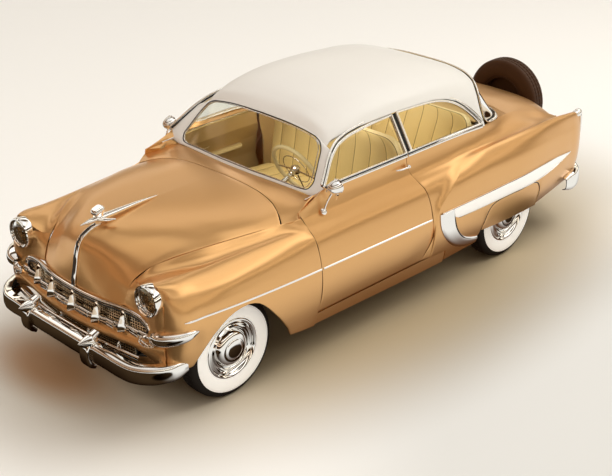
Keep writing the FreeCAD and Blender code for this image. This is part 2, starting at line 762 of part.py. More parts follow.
# Half of the car: (across, height) from the middle of the top to the bottom corner.
TAIL_OUTLINE = ((0, 938), (420, 908), (580, 868), (580, 446))
TAIL_PLACE = 3842
TAIL_THICK = 14
PLATE_HIGH = 640


def tail_panel():
    """The fixed panel below the trunk lid, with the licence plate's two bolt holes."""
    corners = [Vec(across, TAIL_PLACE, high) for across, high in full_width(TAIL_OUTLINE)]
    panel = Part.Face(Part.makePolygon(corners + corners[:1])).extrude(Vec(0, TAIL_THICK, 0))
    for side in (-0.5, 0.5):
        foot = Vec(side * size("plate_bolts"), TAIL_PLACE - 22, PLATE_HIGH)
        panel = panel.cut(Part.makeCylinder(size("plate_bolt_radius"), 60, foot, Vec(0, 1, 0)))
    return panel


keep(shaped("tail_shape", tail_panel()), "tail_panel")


# ---------------------------------------------------------------- roof and fixed glass
# Sections of the front pillar, from the cowl upwards. Columns: height, then four corners (across, station).
FRONT_PILLAR = (
    (1098, (640, 800), (696, 800), (700, 860), (645, 860)),
    (1206, (625, 905), (705, 885), (712, 940), (640, 950)),
    (1415, (590, 1040), (622, 1040), (622, 1110), (585, 1110)),
    (1462, (560, 1065), (596, 1065), (600, 1130), (560, 1130)),
)
# The space behind the rear window, cut from the roof. Side outline of (station, height).
REAR_GLASS_SPACE = ((2700, 1100), (2800, 1150), (2708, 1262), (2694, 1342), (2722, 1402), (2768, 1480),
                    (2780, 1560), (3100, 1560), (3100, 1100))
REAR_GLASS_HALF = 664


def front_pillar():
    """From the cowl up to the corner of the roof, inside the door's swing."""
    sections = []
    for high, *corners in FRONT_PILLAR:
        sections.append([(across, station, high) for across, station in corners])
    return ruled(sections)


def roof():
    """The shell over the cabin, open at the doors, the side glass and the rear window."""
    rows = [(row[0], full_width(row[1:])) for row in ROOF]
    whole = shell(rows, size("roof_thick"))
    # The door frame's space starts ahead of the roof and ends a little further back at the post.
    sash = sash_outline(size("panel_gap"))
    post = sash[-1][0] + 5
    sash_space = [(500, 1100), (850, 1206)] + sash[1:-2] + [(post, sash[-2][1]), (post, 1100)]
    for outline in (sash_space, QUARTER_GLASS):
        whole = whole.cut(side_prism(outline, -1000, 1000))
    whole = whole.cut(side_prism(REAR_GLASS_SPACE, -REAR_GLASS_HALF, REAR_GLASS_HALF))
    pillar = front_pillar()
    return whole.fuse(pillar).fuse(mirrored(pillar)).removeSplitter()


keep(shaped("roof_shape", roof()), "roof")


def slanted_glass(columns):
    """Glass through upright strips. Columns: across, then station and height of the foot and the top."""
    thick = size("glass_thick")
    outlines = []
    mirrored_columns = [(-column[0],) + column[1:] for column in columns[:0:-1]]
    for across, foot_station, foot_high, top_station, top_high in mirrored_columns + list(columns):
        outlines.append([
            (across, foot_station, foot_high), (across, top_station, top_high),
            (across, top_station + thick, top_high), (across, foot_station + thick, foot_high),
        ])
    return ruled(outlines)


WINDSHIELD = (
    (0, 752, 1152, 1032, 1486),
    (350, 778, 1146, 1050, 1454),
    (520, 796, 1138, 1040, 1414),
    (585, 806, 1130, 985, 1332),
)
REAR_WINDOW = (
    (0, 3000, 1196, 2794, 1474),
    (300, 2972, 1194, 2764, 1448),
    (520, 2915, 1190, 2736, 1398),
    (620, 2862, 1184, 2716, 1326),
)
keep(shaped("windshield_shape", slanted_glass(WINDSHIELD)), "windshield")
keep(shaped("rear_window_shape", slanted_glass(REAR_WINDOW)), "rear_window")
quarter_glass = leaning_slab(grown(QUARTER_GLASS, -3), GLASS_DEPTH, GLASS_DEPTH + size("glass_thick"))
keep(shaped("quarter_window_pair", pair_of(quarter_glass)), "quarter_windows")

# ---------------------------------------------------------------- frame and floor
RAIL_SIDE = (
    ("-560", "rail_low"), ("2480", "rail_low"), ("2640", "rail_low + 160"), ("3180", "rail_low + 160"),
    ("3320", "rail_low + 120"), ("3800", "rail_low + 120"), ("3800", "rail_high + 120"),
    ("3300", "rail_high + 130"), ("3190", "rail_high + 180"), ("2600", "rail_high + 180"),
    ("2440", "rail_high"), ("-560", "rail_high"),
)
rail = padded_body("rail_middle", RAIL_SIDE, "2 * rail_place + rail_width")
rail_core = padded_body("rail_inside", RAIL_SIDE, "2 * rail_place - rail_width")
rails = cut_out("rails", rail, rail_core)
CROSSMEMBERS = (
    # name, station, underside, fore-and-aft width, depth
    ("front_cross", -540, "rail_low + 12", 60, 50),
    ("engine_cross", 560, "rail_low + 12", 60, 50),
    ("middle_cross", 1500, "rail_low - 24", 60, 30),
    ("kick_up_cross", 2560, "rail_low + 132", 50, 50),
    ("rear_cross", 3730, "rail_low + 132", 60, 50),
)
members = [rails]
for name, station, underside, width, depth in CROSSMEMBERS:
    members.append(bound(
        "Box", name, Length="2 * rail_place", Width=width, Height=depth,
        Place_x="-rail_place", Place_y="front_axle + %d" % station, Place_z=underside))
JACK_STATIONS = (700, 2200)
for number, station in enumerate(JACK_STATIONS):
    for side in (-1, 1):
        members.append(bound(
            "Box", "jack_pad_%d_%d" % (number, side + 1), Length="60", Width="60", Height="14",
            Place_x="%d * rail_place - 30" % side, Place_y="front_axle + %d" % (station - 30),
            Place_z="rail_low - 12"))
frame_union = fused("frame_union", members)
hitch_holes = []
for side in (-1, 1):
    hitch_holes.append(bound(
        "Cylinder", "hitch_hole_%d" % (side + 1), Radius="6.5", Height="120",
        Place_x="%d * 60" % side, Place_y="front_axle + 3760", Place_z="rail_low + 100"))
hitch = doc.addObject("Part::Compound", "hitch_holes")
hitch.Links = hitch_holes
keep(cut_out("frame_done", frame_union, hitch), "frame")

FLOOR_SIDE = (
    ("661", "540"), ("674", "540"), ("800", "floor_high"), ("2330", "floor_high"), ("2400", "boot_floor"),
    ("3826", "boot_floor"), ("3826", "boot_floor - floor_thick"), ("2408", "boot_floor - floor_thick"),
    ("2338", "floor_high - floor_thick"), ("787", "floor_high - floor_thick"), ("661", "528"),
)
floor_panel = padded_body("floor_panel", FLOOR_SIDE, "2 * floor_half")
wheel_wells = []
for side in (-1, 1):
    wheel_wells.append(bound(
        "Box", "wheel_well_%d" % (side + 1), Length="400", Width="1600", Height="400",
        Place_x="tyre_room" if side > 0 else "-tyre_room - 400",
        Place_y="front_axle + 2336", Place_z="300"))
wells = doc.addObject("Part::Compound", "wheel_wells")
wells.Links = wheel_wells
keep(cut_out("floor_done", floor_panel, wells), "floor_pan")

# ---------------------------------------------------------------- engine, exhaust and tank
keep(bound("Box", "engine_box", Length="engine_width", Width="engine_length", Height="engine_height",
           Place_x="-engine_width / 2", Place_y="front_axle - 260", Place_z="rail_high + 60"),
     "engine_block")
tank = bound("Box", "tank_box", Length="2 * tank_half", Width="340", Height="150",
             Place_x="-tank_half", Place_y="front_axle + 3340", Place_z="boot_floor - floor_thick - 160")
keep(tank, "fuel_tank")
EXHAUST_RUNS = (
    # name, station of the front end, height, length, radius
    ("front_pipe", 580, 205, 1040, "exhaust_radius"),
    ("silencer", 1600, 205, 480, "3 * exhaust_radius"),
    ("rear_pipe", 2070, 205, 1640, "exhaust_radius"),
)
runs = []
for name, station, high, length, radius in EXHAUST_RUNS:
    run = bound("Cylinder", name, Radius=radius, Height=str(length), Place_x="-170",
                Place_y="front_axle + %d" % station, Place_z=str(high))
    runs.append(turned(run, Vec(1, 0, 0), -90))
keep(fused("exhaust_runs", runs), "exhaust")

# ---------------------------------------------------------------- wheels and tyres
HALF_RIM = "rim_width / 2"
WHEEL_OUTLINE = (
    # along the axle (outwards), radius
    ("-%s" % HALF_RIM, "rim_flange"), ("-%s" % HALF_RIM, "rim_radius - rim_wall"),
    ("18", "rim_radius - rim_wall - 14"), ("24", "drum_radius"), ("18", "drum_radius - 8"),
    ("-20", "drum_radius - 8"), ("-20", "drum_radius - 16"), ("10", "drum_radius - 16"),
    ("10", "spindle_radius + 22"), ("-28", "spindle_radius + 22"),
    ("-28", "spindle_radius + spindle_play"), ("30", "spindle_radius + spindle_play"),
    ("30", "0"), ("78", "0"), ("72", "60"), ("56", "104"), ("34", "124"), ("36", "150"),
    ("%s - 14" % HALF_RIM, "rim_radius - 12"), (HALF_RIM, "rim_radius - rim_wall"),
    (HALF_RIM, "rim_flange"), ("%s - 5" % HALF_RIM, "rim_flange"), ("%s - 6" % HALF_RIM, "rim_radius"),
    ("6 - %s" % HALF_RIM, "rim_radius"), ("5 - %s" % HALF_RIM, "rim_flange"),
)
TYRE_OUTLINE = (
    ("6.5 - %s" % HALF_RIM, "rim_radius + 0.5"), ("%s - 6.5" % HALF_RIM, "rim_radius + 0.5"),
    ("%s - 6" % HALF_RIM, "rim_flange + 1.5"),
    ("tyre_width / 2 - 4", "rim_flange + 34"), ("tyre_width / 2", "rim_flange + 66"),
    ("tyre_width / 2 - 5", "tyre_radius - 40"), ("tyre_width / 2 - 22", "tyre_radius - 8"),
    ("tyre_width / 2 - 38", "tyre_radius"), ("38 - tyre_width / 2", "tyre_radius"),
    ("22 - tyre_width / 2", "tyre_radius - 8"), ("5 - tyre_width / 2", "tyre_radius - 40"),
    ("-tyre_width / 2", "rim_flange + 66"), ("4 - tyre_width / 2", "rim_flange + 34"),
    ("6 - %s" % HALF_RIM, "rim_flange + 1.5"),
)
WHEEL_PLACES = (
    # corner, side, place across, station
    ("front_left", 1, "front_wheel_place", "0"),
    ("front_right", -1, "front_wheel_place", "0"),
    ("rear_left", 1, "rear_wheel_place", "wheelbase"),
    ("rear_right", -1, "rear_wheel_place", "wheelbase"),
)
for corner, side, across, station in WHEEL_PLACES:
    for kind, outline in (("wheel", WHEEL_OUTLINE), ("tyre", TYRE_OUTLINE)):
        part = turned_body("%s_%s_body" % (kind, corner), outline)
        if side < 0:
            part.Placement.Rotation = FreeCAD.Rotation(Vec(0, 0, 1), 180)
        part.setExpression("Placement.Base.x", linked("%d * %s" % (side, across)))
        part.setExpression("Placement.Base.y", linked("front_axle + %s" % station))
        part.setExpression("Placement.Base.z", linked("tyre_radius"))
        keep(part, "%s_%s" % (kind, corner))

# The spare stands upright behind the trunk, its outer face to the rear.
SPARE_WHEEL = (
    ("-%s" % HALF_RIM, "rim_flange"), ("-%s" % HALF_RIM, "rim_radius - rim_wall"),
    ("20", "rim_radius - rim_wall - 12"), ("20", "40"), ("28", "40"), ("40", "110"),
    ("40", "150"), (HALF_RIM, "rim_radius - rim_wall"),
    (HALF_RIM, "rim_flange"), ("%s - 5" % HALF_RIM, "rim_flange"), ("%s - 6" % HALF_RIM, "rim_radius"),
    ("6 - %s" % HALF_RIM, "rim_radius"), ("5 - %s" % HALF_RIM, "rim_flange"),
)
for kind, outline in (("spare_wheel", SPARE_WHEEL), ("spare_tyre", TYRE_OUTLINE)):
    part = turned_body(kind + "_body", outline)
    part.Placement.Rotation = FreeCAD.Rotation(Vec(0, 0, 1), 90)
    part.setExpression("Placement.Base.y", linked("front_axle + spare_place"))
    part.setExpression("Placement.Base.z", linked("spare_high"))
    keep(part, kind)

# ---------------------------------------------------------------- axles, knuckles and springs
for corner, side in (("left", 1), ("right", -1)):
    pin = bound("Cylinder", "kingpin_" + corner, Radius="kingpin_radius", Height="arm_high - arm_low - 28",
                Place_x="%d * kingpin_place" % side, Place_y="front_axle", Place_z="arm_low + 14")
    spindle = bound("Cylinder", "spindle_" + corner, Radius="spindle_radius",
                    Height="front_wheel_place - kingpin_place + 28",
                    Place_x="%d * kingpin_place" % side, Place_y="front_axle", Place_z="tyre_radius")
    spindle.Placement.Rotation = FreeCAD.Rotation(Vec(0, 1, 0), side * 90)
    steering_arm = bound("Box", "steering_arm_" + corner, Length="24", Width="98", Height="24",
                         Place_x="%d * kingpin_place - 12" % side, Place_y="front_axle",
                         Place_z="tyre_radius - 60")
    keep(fused("knuckle_%s_parts" % corner, [pin, spindle, steering_arm]), "knuckle_" + corner)

arms = [bound("Box", "front_beam", Length="2 * rail_place + rail_width + 60", Width="120", Height="38",
              Place_x="-rail_place - rail_width / 2 - 30", Place_y="front_axle - 60",
              Place_z="rail_low - 38")]
for side in (-1, 1):
    tag = "left" if side > 0 else "right"
    for level, high in (("low", "arm_low"), ("high", "arm_high")):
        arms.append(bound(
            "Box", "arm_%s_%s" % (level, tag), Length="kingpin_place - rail_place - 20", Width="36",
            Height="arm_depth",
            Place_x="%s" % ("rail_place + 34" if side > 0 else "-kingpin_place - 14"),
            Place_y="front_axle - 18", Place_z="%s - arm_depth / 2" % high))
    arms.append(bound(
        "Cylinder", "spring_%s" % tag, Radius="48", Height="arm_high - arm_low",
        Place_x="%d * (rail_place + 110)" % side, Place_y="front_axle", Place_z="arm_low"))
    arms.append(bound(
        "Box", "spring_tower_%s" % tag, Length="60", Width="90", Height="200",
        Place_x="%s" % ("rail_place + 36" if side > 0 else "-rail_place - 96"),
        Place_y="front_axle - 45", Place_z="rail_low - 30"))
keep(fused("front_suspension_parts", arms), "front_suspension")

axle_tube = bound("Cylinder", "axle_tube_run", Radius="axle_tube", Height="2 * rear_wheel_place - 120",
                  Place_x="60 - rear_wheel_place", Place_y="front_axle + wheelbase", Place_z="tyre_radius")
turned(axle_tube, Vec(0, 1, 0), 90)
axle_shaft = bound("Cylinder", "axle_shaft_run", Radius="spindle_radius", Height="2 * rear_wheel_place + 56",
                   Place_x="-rear_wheel_place - 28", Place_y="front_axle + wheelbase", Place_z="tyre_radius")
turned(axle_shaft, Vec(0, 1, 0), 90)
final_drive = bound("Sphere", "final_drive_ball", Radius="final_drive",
                    Place_x="0", Place_y="front_axle + wheelbase", Place_z="tyre_radius")
torque_tube = bound("Cylinder", "torque_tube_run", Radius="axle_tube", Height="wheelbase - 640",
                    Place_x="0", Place_y="front_axle + 640", Place_z="tyre_radius - 40")
turned(torque_tube, Vec(1, 0, 0), -90)
keep(fused("rear_axle_parts", [axle_tube, axle_shaft, final_drive, torque_tube]), "rear_axle")

leaf = bound("Box", "leaf_pack", Length="60", Width="1100", Height="26", Place_x="470",
             Place_y="front_axle + 2430", Place_z="tyre_radius - axle_tube - 26")
eye = bound("Box", "spring_eye", Length="114", Width="50", Height="220", Place_x="416",
            Place_y="front_axle + 2430", Place_z="tyre_radius - axle_tube - 26")
shackle = bound("Box", "spring_shackle", Length="114", Width="50", Height="220", Place_x="416",
                Place_y="front_axle + 3480", Place_z="tyre_radius - axle_tube - 26")
keep(both_sides("rear_spring_pair", fused("rear_spring", [leaf, eye, shackle])), "rear_springs")

# ---------------------------------------------------------------- steering
slope = math.radians(size("column_slope"))
column_run = Vec(0, math.cos(slope), math.sin(slope))
column_turn = FreeCAD.Rotation(Vec(0, 0, 1), column_run)
hub_point = Vec(size("column_place"), size("column_hub"), size("column_high"))
column_length = (size("column_hub") - size("firewall_place") - 32) / math.cos(slope) - 40
column_foot = hub_point - column_run * (column_length + 40)
column = Part.makeCylinder(size("column_radius"), column_length, column_foot, column_run)
keep(shaped("column_shape", column), "steering_column")


SPOKE_ANGLES = (-8, 188, 270)


def steering_wheel():
    """The hub, the rim and the three spokes."""
    hub = Part.makeCylinder(26, 60, hub_point - column_run * 38, column_run)
    grip = Part.makeTorus(size("steering_radius"), size("steering_grip"), hub_point, column_run)
    spokes = []
    for angle in SPOKE_ANGLES:
        run = column_turn.multVec(Vec(math.cos(math.radians(angle)), math.sin(math.radians(angle)), 0))
        spokes.append(Part.makeCylinder(8, size("steering_radius"), hub_point, run))
    return hub.multiFuse([grip] + spokes).removeSplitter()


keep(shaped("steering_wheel_shape", steering_wheel()), "steering_wheel")

# ---------------------------------------------------------------- inside the cabin
DASH_SIDE = (
    ("firewall_place + 120", "900"), ("firewall_place + 120", "1086"), ("firewall_place + 200", "1092"),
    ("905", "1086"), ("930", "1050"), ("900", "880"),
)
dash_body = padded_body("dash_body", DASH_SIDE, "1370")
column_hole = bound("Cylinder", "column_hole", Radius="column_radius + 4", Height="600")
column_hole.Placement = FreeCAD.Placement(
    column_foot + Vec(0, size("front_axle"), 0), FreeCAD.Rotation(Vec(0, 0, 1), column_run))
keep(cut_out("dash_done", dash_body, column_hole), "dashboard")
FRONT_SEAT_SIDE = (
    ("1340", "372"), ("1310", "740"), ("1360", "780"), ("1700", "745"), ("1800", "1225"), ("1845", "1250"),
    ("1900", "1225"), ("1850", "372"),
)
REAR_SEAT_SIDE = (
    ("2110", "372"), ("2090", "730"), ("2140", "765"), ("2480", "740"), ("2640", "1120"), ("2690", "1140"),
    ("2740", "1120"), ("2740", "556"), ("2380", "556"), ("2300", "372"),
)
keep(padded_body("front_seat_body", FRONT_SEAT_SIDE, "2 * seat_half"), "front_seat")
keep(padded_body("rear_seat_body", REAR_SEAT_SIDE, "2 * tyre_room - 20"), "rear_seat")
keep(bound("Box", "shelf_box", Length="2 * tyre_room - 60", Width="100", Height="14",
           Place_x="30 - tyre_room", Place_y="front_axle + 2750", Place_z="1106"), "parcel_shelf")

# ---------------------------------------------------------------- wheel houses
WHEEL_HOUSE_SIDE = ((-500, 420), (-500, 830), (-120, 850), (120, 850), (590, 830), (590, 420), (470, 420),
                    (470, 735), (-440, 735), (-440, 420))


def wheel_house():
    """The inner wall of the front wheel's opening, clear of the steered tyre."""
    wall = side_prism(WHEEL_HOUSE_SIDE, 438, 446)
    shelf = block((440, -440, 735), (700, 470, 743))
    return wall.fuse(shelf).removeSplitter()


keep(shaped("inner_fender_pair", pair_of(wheel_house())), "inner_fenders")

# ---------------------------------------------------------------- bumpers
# Plan line of the front bumper's face. Columns: across, station.
FRONT_BUMPER_LINE = ((0, -802), (370, -798), (600, -772), (745, -722), (845, -640), (895, -550), (915, -430))
REAR_BUMPER_LINE = ((0, 4130), (400, 4112), (700, 4040), (850, 3935), (905, 3850), (915, 3740))
BUMPER_THICK = 30
GUARD_PLACE = 325
# How far ahead of or behind the bumper's middle the centre of its curve is.
BEND_CENTRE = 600
# Plan outline of the tray that joins the rear bumper to the body and carries the spare wheel.
TRAY = ((-520, 3866), (520, 3866), (600, 4060), (380, 4098), (0, 4112), (-380, 4098), (-600, 4060))


def bent_bar(line, inward, low, high, thick):
    """An upright bar that follows a plan line over the whole width."""
    whole = [(-across, station) for across, station in line[:0:-1]] + list(line)
    outlines = []
    for across, station in whole:
        middle = line[0][1] - inward * BEND_CENTRE
        away = math.hypot(across, station - middle)
        step_x = -across / away * thick
        step_y = (middle - station) / away * thick
        outlines.append([(across, station, low), (across, station, high),
                         (across + step_x, station + step_y, high),
                         (across + step_x, station + step_y, low)])
    return ruled(outlines)


def front_bumper():
    """The bar, the two pointed guards on it and the two brackets behind it."""
    bar = bent_bar(FRONT_BUMPER_LINE, -1, 370, 515, BUMPER_THICK)
    parts = [bar]
    for side in (-1, 1):
        across = side * GUARD_PLACE
        parts.append(Part.makeCone(44, 4, 70, Vec(across, -790, 525), Vec(0, -1, 0)))
        parts.append(block((across - 44, -806, 350), (across + 44, -765, 569)))
        parts.append(block((side * 380 - 20, -790, 335), (side * 380 + 20, -562, 385)))
    return parts[0].multiFuse(parts[1:]).removeSplitter()


def rear_bumper():
    """The bar, its tray, two guards and the brackets that carry them."""
    bar = bent_bar(REAR_BUMPER_LINE, 1, 340, 500, BUMPER_THICK)
    parts = [bar, plan_prism(TRAY, 470, 482)]
    for side in (-1, 1):
        across = side * GUARD_PLACE
        parts.append(block((across - 40, 4100, 350), (across + 40, 4160, 560)))
        parts.append(block((side * 380 - 20, 3812, 400), (side * 380 + 20, 4100, 440)))
        parts.append(block((side * 470 - 20, 3866, 440), (side * 470 + 20, 4070, 472)))
    return parts[0].multiFuse(parts[1:]).removeSplitter()


keep(shaped("front_bumper_shape", front_bumper()), "front_bumper")
keep(shaped("rear_bumper_shape", rear_bumper()), "rear_bumper")


def spare_carrier():
    """The upright on the bumper tray and the stub through the spare wheel's centre hole."""
    upright = block((-45, 3864, 483), (45, 3876, 910))
    stub_foot = Vec(0, 3870, size("spare_high"))
    stub_length = size("spare_place") + 45 - stub_foot.y
    stub = Part.makeCylinder(34, stub_length, stub_foot, Vec(0, 1, 0))
    return upright.fuse(stub).removeSplitter()


keep(shaped("spare_carrier_shape", spare_carrier()), "spare_carrier")

# ---------------------------------------------------------------- check and write
doc.recompute()
probe = doc.getObject("Probe")
if probe is not None:
    doc.removeObject(probe.Name)
for part in doc.Objects:
    for bad in ("Invalid", "Error"):
        if bad in part.State:
            raise RuntimeError("%s is %s" % (part.Label, bad))
for part in pieces:
    if part.Shape.isNull() or not part.Shape.isValid():
        raise RuntimeError("%s has no valid shape" % part.Label)
for part in pieces:
    part.Shape.exportStep("parts/%s.step" % part.Label)
    box = part.Shape.BoundBox
    print("%-22s %2d solids %9.1f cm3  x %7.0f %7.0f  y %7.0f %7.0f  z %7.0f %7.0f" % (
        part.Label, len(part.Shape.Solids), part.Shape.Volume / 1000,
        box.XMin, box.XMax, box.YMin, box.YMax, box.ZMin, box.ZMax))
print(len(pieces), "pieces")
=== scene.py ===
import math

import bpy
import numpy as np
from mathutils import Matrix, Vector


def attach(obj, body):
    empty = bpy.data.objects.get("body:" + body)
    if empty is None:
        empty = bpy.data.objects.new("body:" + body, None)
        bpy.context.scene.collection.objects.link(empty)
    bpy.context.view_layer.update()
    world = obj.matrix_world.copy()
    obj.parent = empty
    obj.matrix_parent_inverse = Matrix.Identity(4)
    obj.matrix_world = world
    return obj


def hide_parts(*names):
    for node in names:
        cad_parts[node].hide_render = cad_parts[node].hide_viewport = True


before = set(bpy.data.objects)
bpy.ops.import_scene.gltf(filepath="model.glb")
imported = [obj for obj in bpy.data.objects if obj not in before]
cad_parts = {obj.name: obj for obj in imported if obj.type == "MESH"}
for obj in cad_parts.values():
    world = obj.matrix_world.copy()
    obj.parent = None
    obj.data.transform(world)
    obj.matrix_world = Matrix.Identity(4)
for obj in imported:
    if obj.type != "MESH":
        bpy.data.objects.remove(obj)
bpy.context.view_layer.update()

# Tables are in millimetres: across (the car's left is positive), station (behind the front axle), up.
FRONT_AXLE = -1.650
EDGE_ROLL = 0.0012
SIDES = ((1, "left"), (-1, "right"))
LEFT = (1, 0, 0.2)
ABOVE = (0, 0, 1)
AHEAD = (0, -1, 0)
BACKWARD = (0, 1, 0)


# ---------------------------------------------------------------- shapes
def metres(points):
    """Table places, in millimetres from the front axle, as places in the frame."""
    return np.asarray(points, float) / 1000 + (0, FRONT_AXLE, 0)


def at(station, *places):
    """A table row whose places, (across, up), all have one station."""
    return tuple((across, station, up) for across, up in places)


def flipped(points):
    """The same places on the car's right side."""
    return np.asarray(points, float) * (-1, 1, 1)


def smooth(knots, values, places):
    """A smooth curve through the values, read at some places."""
    knots = np.asarray(knots, float)
    values = np.asarray(values, float)
    slopes = np.gradient(values, knots, axis=0)
    left = np.clip(np.searchsorted(knots, places, side="right") - 1, 0, len(knots) - 2)
    span = knots[left + 1] - knots[left]
    share = (places - knots[left]) / span
    shape = (len(places),) + (1,) * (values.ndim - 1)
    share = share.reshape(shape)
    span = span.reshape(shape)
    return (
        (2 * share**3 - 3 * share**2 + 1) * values[left]
        + (share**3 - 2 * share**2 + share) * span * slopes[left]
        + (3 * share**2 - 2 * share**3) * values[left + 1]
        + (share**3 - share**2) * span * slopes[left + 1])


def knots_of(values):
    """Distance travelled along the first axis, averaged over the others, from 0 to 1."""
    steps = np.linalg.norm(np.diff(values, axis=0), axis=-1)
    while steps.ndim > 1:
        steps = steps.mean(axis=-1)
    knots = np.concatenate([[0], np.cumsum(np.maximum(steps, 1e-6))])
    return knots / knots[-1]


def resampled(values, count, folds=()):
    """Evenly spaced smooth samples along the first axis, with a fold kept sharp where one is named."""
    values = np.asarray(values, float)
    knots = knots_of(values)
    stops = [0] + list(folds) + [len(values) - 1]
    parts = []
    for first, last in zip(stops, stops[1:]):
        number = max(2, int(round(count * (knots[last] - knots[first]))))
        places = np.linspace(knots[first], knots[last], number + 1)
        part = smooth(knots[first:last + 1], values[first:last + 1], places)
        parts.append(part if last == stops[-1] else part[:-1])
    return np.concatenate(parts)


def line(points, count):
    """A smooth line through places in a table."""
    return resampled(metres(points), count)


def whole_line(points, count):
    """A smooth line right across the car, from the places of its left half."""
    half = line(points, count)
    return np.concatenate([flipped(half)[::-1], half[1:]])


def taper(path, stops, values):
    """Sizes along a path, from their values at some shares of it."""
    return np.interp(np.linspace(0, 1, len(path)), stops, values)


def skin(rows, down, over, row_folds=(), folds=()):
    """A smooth grid through rows of places in a table."""
    grid = resampled(metres(rows), down, row_folds)
    return np.swapaxes(resampled(np.swapaxes(grid, 0, 1), over, folds), 0, 1)


def full_width(grid):
    """A half grid, from the middle to the left, joined to its mirror image."""
    return np.concatenate([flipped(grid)[:, ::-1], grid[:, 1:]], axis=1)


def trimmed(grid, low, column):
    """The grid with its last column moved up to a line given as stations and heights.

    Only the columns after the named one move, so the parts above it keep their place.
    """
    low = metres([(0, station, up) for station, up in low])
    count = grid.shape[1]
    result = grid.copy()
    for row in range(grid.shape[0]):
        gap = grid[row, :, 2] - np.interp(grid[row, :, 1], low[:, 1], low[:, 2])
        below = np.nonzero(gap[column:] < 0)[0]
        if not len(below):
            continue
        after = column + below[0]
        share = gap[after - 1] / (gap[after - 1] - gap[after])
        end = after - 1 + share
        places = np.arange(count, dtype=float)
        places[column:] = column + (end - column) * (places[column:] - column) / (count - 1 - column)
        for axis in range(3):
            result[row, :, axis] = np.interp(places, np.arange(count), grid[row, :, axis])
    return result


def normals_of(grid):
    """Unit normals of a grid of places."""
    cross = np.cross(np.gradient(grid, axis=0), np.gradient(grid, axis=1))
    return cross / np.maximum(np.linalg.norm(cross, axis=-1, keepdims=True), 1e-12)


def one_side(points, faces, side):
    """A shape as it is for the left side, or its mirror image when side is negative."""
    if side < 0:
        return flipped(points), [face[::-1] for face in faces]
    return points, faces


class Shape:
    """Places and faces of one piece, with a material number for each face."""

    def __init__(self):
        self.points = []
        self.faces = []
        self.finishes = []
        self.count = 0

    def add(self, points, faces, finish=0):
        """Adds places and faces, with one finish for all the faces or one for each."""
        points = np.asarray(points, float).reshape(-1, 3)
        self.points.append(points)
        for face in faces:
            self.faces.append(tuple(int(index) + self.count for index in face))
        self.finishes.extend([finish] * len(faces) if isinstance(finish, int) else finish)
        self.count += len(points)
        return self

    def both(self, points, faces, finish=0):
        """Adds places and faces on both sides of the car."""
        self.add(points, faces, finish)
        return self.add(*one_side(points, faces, -1), finish)


def grid_faces(down, over, start=0, wrap=False, inverted=False, loop=False):
    """The four-cornered faces of a grid. wrap joins its last column to the first, loop its last row."""
    faces = []
    for row in range(down if loop else down - 1):
        near = start + row * over
        far = start + (row + 1) % down * over
        for column in range(over if wrap else over - 1):
            beside = (column + 1) % over
            face = (near + column, near + beside, far + beside, far + column)
            faces.append(face[::-1] if inverted else face)
    return faces


def tube_faces(down, over, inverted=True):
    """The faces of a tube of rings, with its two ends."""
    first = tuple(range(over))
    last = tuple((down - 1) * over + column for column in range(over))
    ends = [first, last[::-1]] if inverted else [first[::-1], last]
    return grid_faces(down, over, wrap=True, inverted=inverted) + ends


def rim_of(down, over):
    """The indices round the edge of a grid."""
    rim = list(range(over))
    rim += [row * over + over - 1 for row in range(1, down)]
    rim += [(down - 1) * over + column for column in range(over - 2, -1, -1)]
    rim += [row * over for row in range(down - 2, 0, -1)]
    return rim


def closed(face, back, outwards):
    """A solid between two grids of one size: the face, the back, then the rim between them.

    outwards is a direction that the face's middle looks towards.
    """
    down, over = face.shape[:2]
    middle = normals_of(face)[down // 2, over // 2]
    inverted = bool(np.dot(middle, outwards) < 0)
    points = np.concatenate([face.reshape(-1, 3), back.reshape(-1, 3)])
    faces = grid_faces(down, over, 0, inverted=inverted)
    faces += grid_faces(down, over, down * over, inverted=not inverted)
    rim = rim_of(down, over)
    for first, last in zip(rim, rim[1:] + rim[:1]):
        quad = (last, first, first + down * over, last + down * over)
        faces.append(quad[::-1] if inverted else quad)
    return points, faces


def rolled(grid, outwards, roll):
    """The grid with its outer rows and columns rolled back a little, and its normals."""
    normals = normals_of(grid)
    if np.dot(normals[grid.shape[0] // 2, grid.shape[1] // 2], outwards) < 0:
        normals = -normals
    face = grid.copy()
    for edge in (np.s_[0, :], np.s_[-1, :], np.s_[:, 0], np.s_[:, -1]):
        face[edge] = grid[edge] - normals[edge] * roll
    return face, normals


def plate(grid, thick, outwards, roll=EDGE_ROLL):
    """A panel with the grid as its face. The face's edge rolls back a little."""
    face, normals = rolled(grid, outwards, roll)
    return closed(face, grid - normals * thick, outwards)


def wide_plate(rows, down, over, thick, outwards):
    """A panel right across the car, from a table of its left half."""
    return plate(full_width(skin(rows, down, over)), thick, outwards)


def sweep(path, section, up=ABOVE, scale=None, loop=False):
    """A closed section carried along a path. The section is (sideways, upwards) places."""
    path = np.asarray(path, float)
    section = np.asarray(section, float)
    count = len(path)
    if loop:
        ahead = np.roll(path, -1, axis=0) - np.roll(path, 1, axis=0)
    else:
        ahead = np.gradient(path, axis=0)
    ahead /= np.linalg.norm(ahead, axis=1, keepdims=True)
    ups = np.broadcast_to(np.asarray(up, float), path.shape)
    side = np.cross(ahead, ups)
    side /= np.maximum(np.linalg.norm(side, axis=1, keepdims=True), 1e-9)
    rise = np.cross(side, ahead)
    if scale is None:
        scale = np.ones(count)
    scale = np.asarray(scale, float)
    if scale.ndim == 1:
        scale = np.stack([scale, scale], axis=1)
    points = (
        path[:, None, :]
        + side[:, None, :] * (section[None, :, 0] * scale[:, None, 0])[..., None]
        + rise[:, None, :] * (section[None, :, 1] * scale[:, None, 1])[..., None])
    if loop:
        faces = grid_faces(count, len(section), wrap=True, inverted=True, loop=True)
    else:
        faces = tube_faces(count, len(section))
    return points.reshape(-1, 3), faces


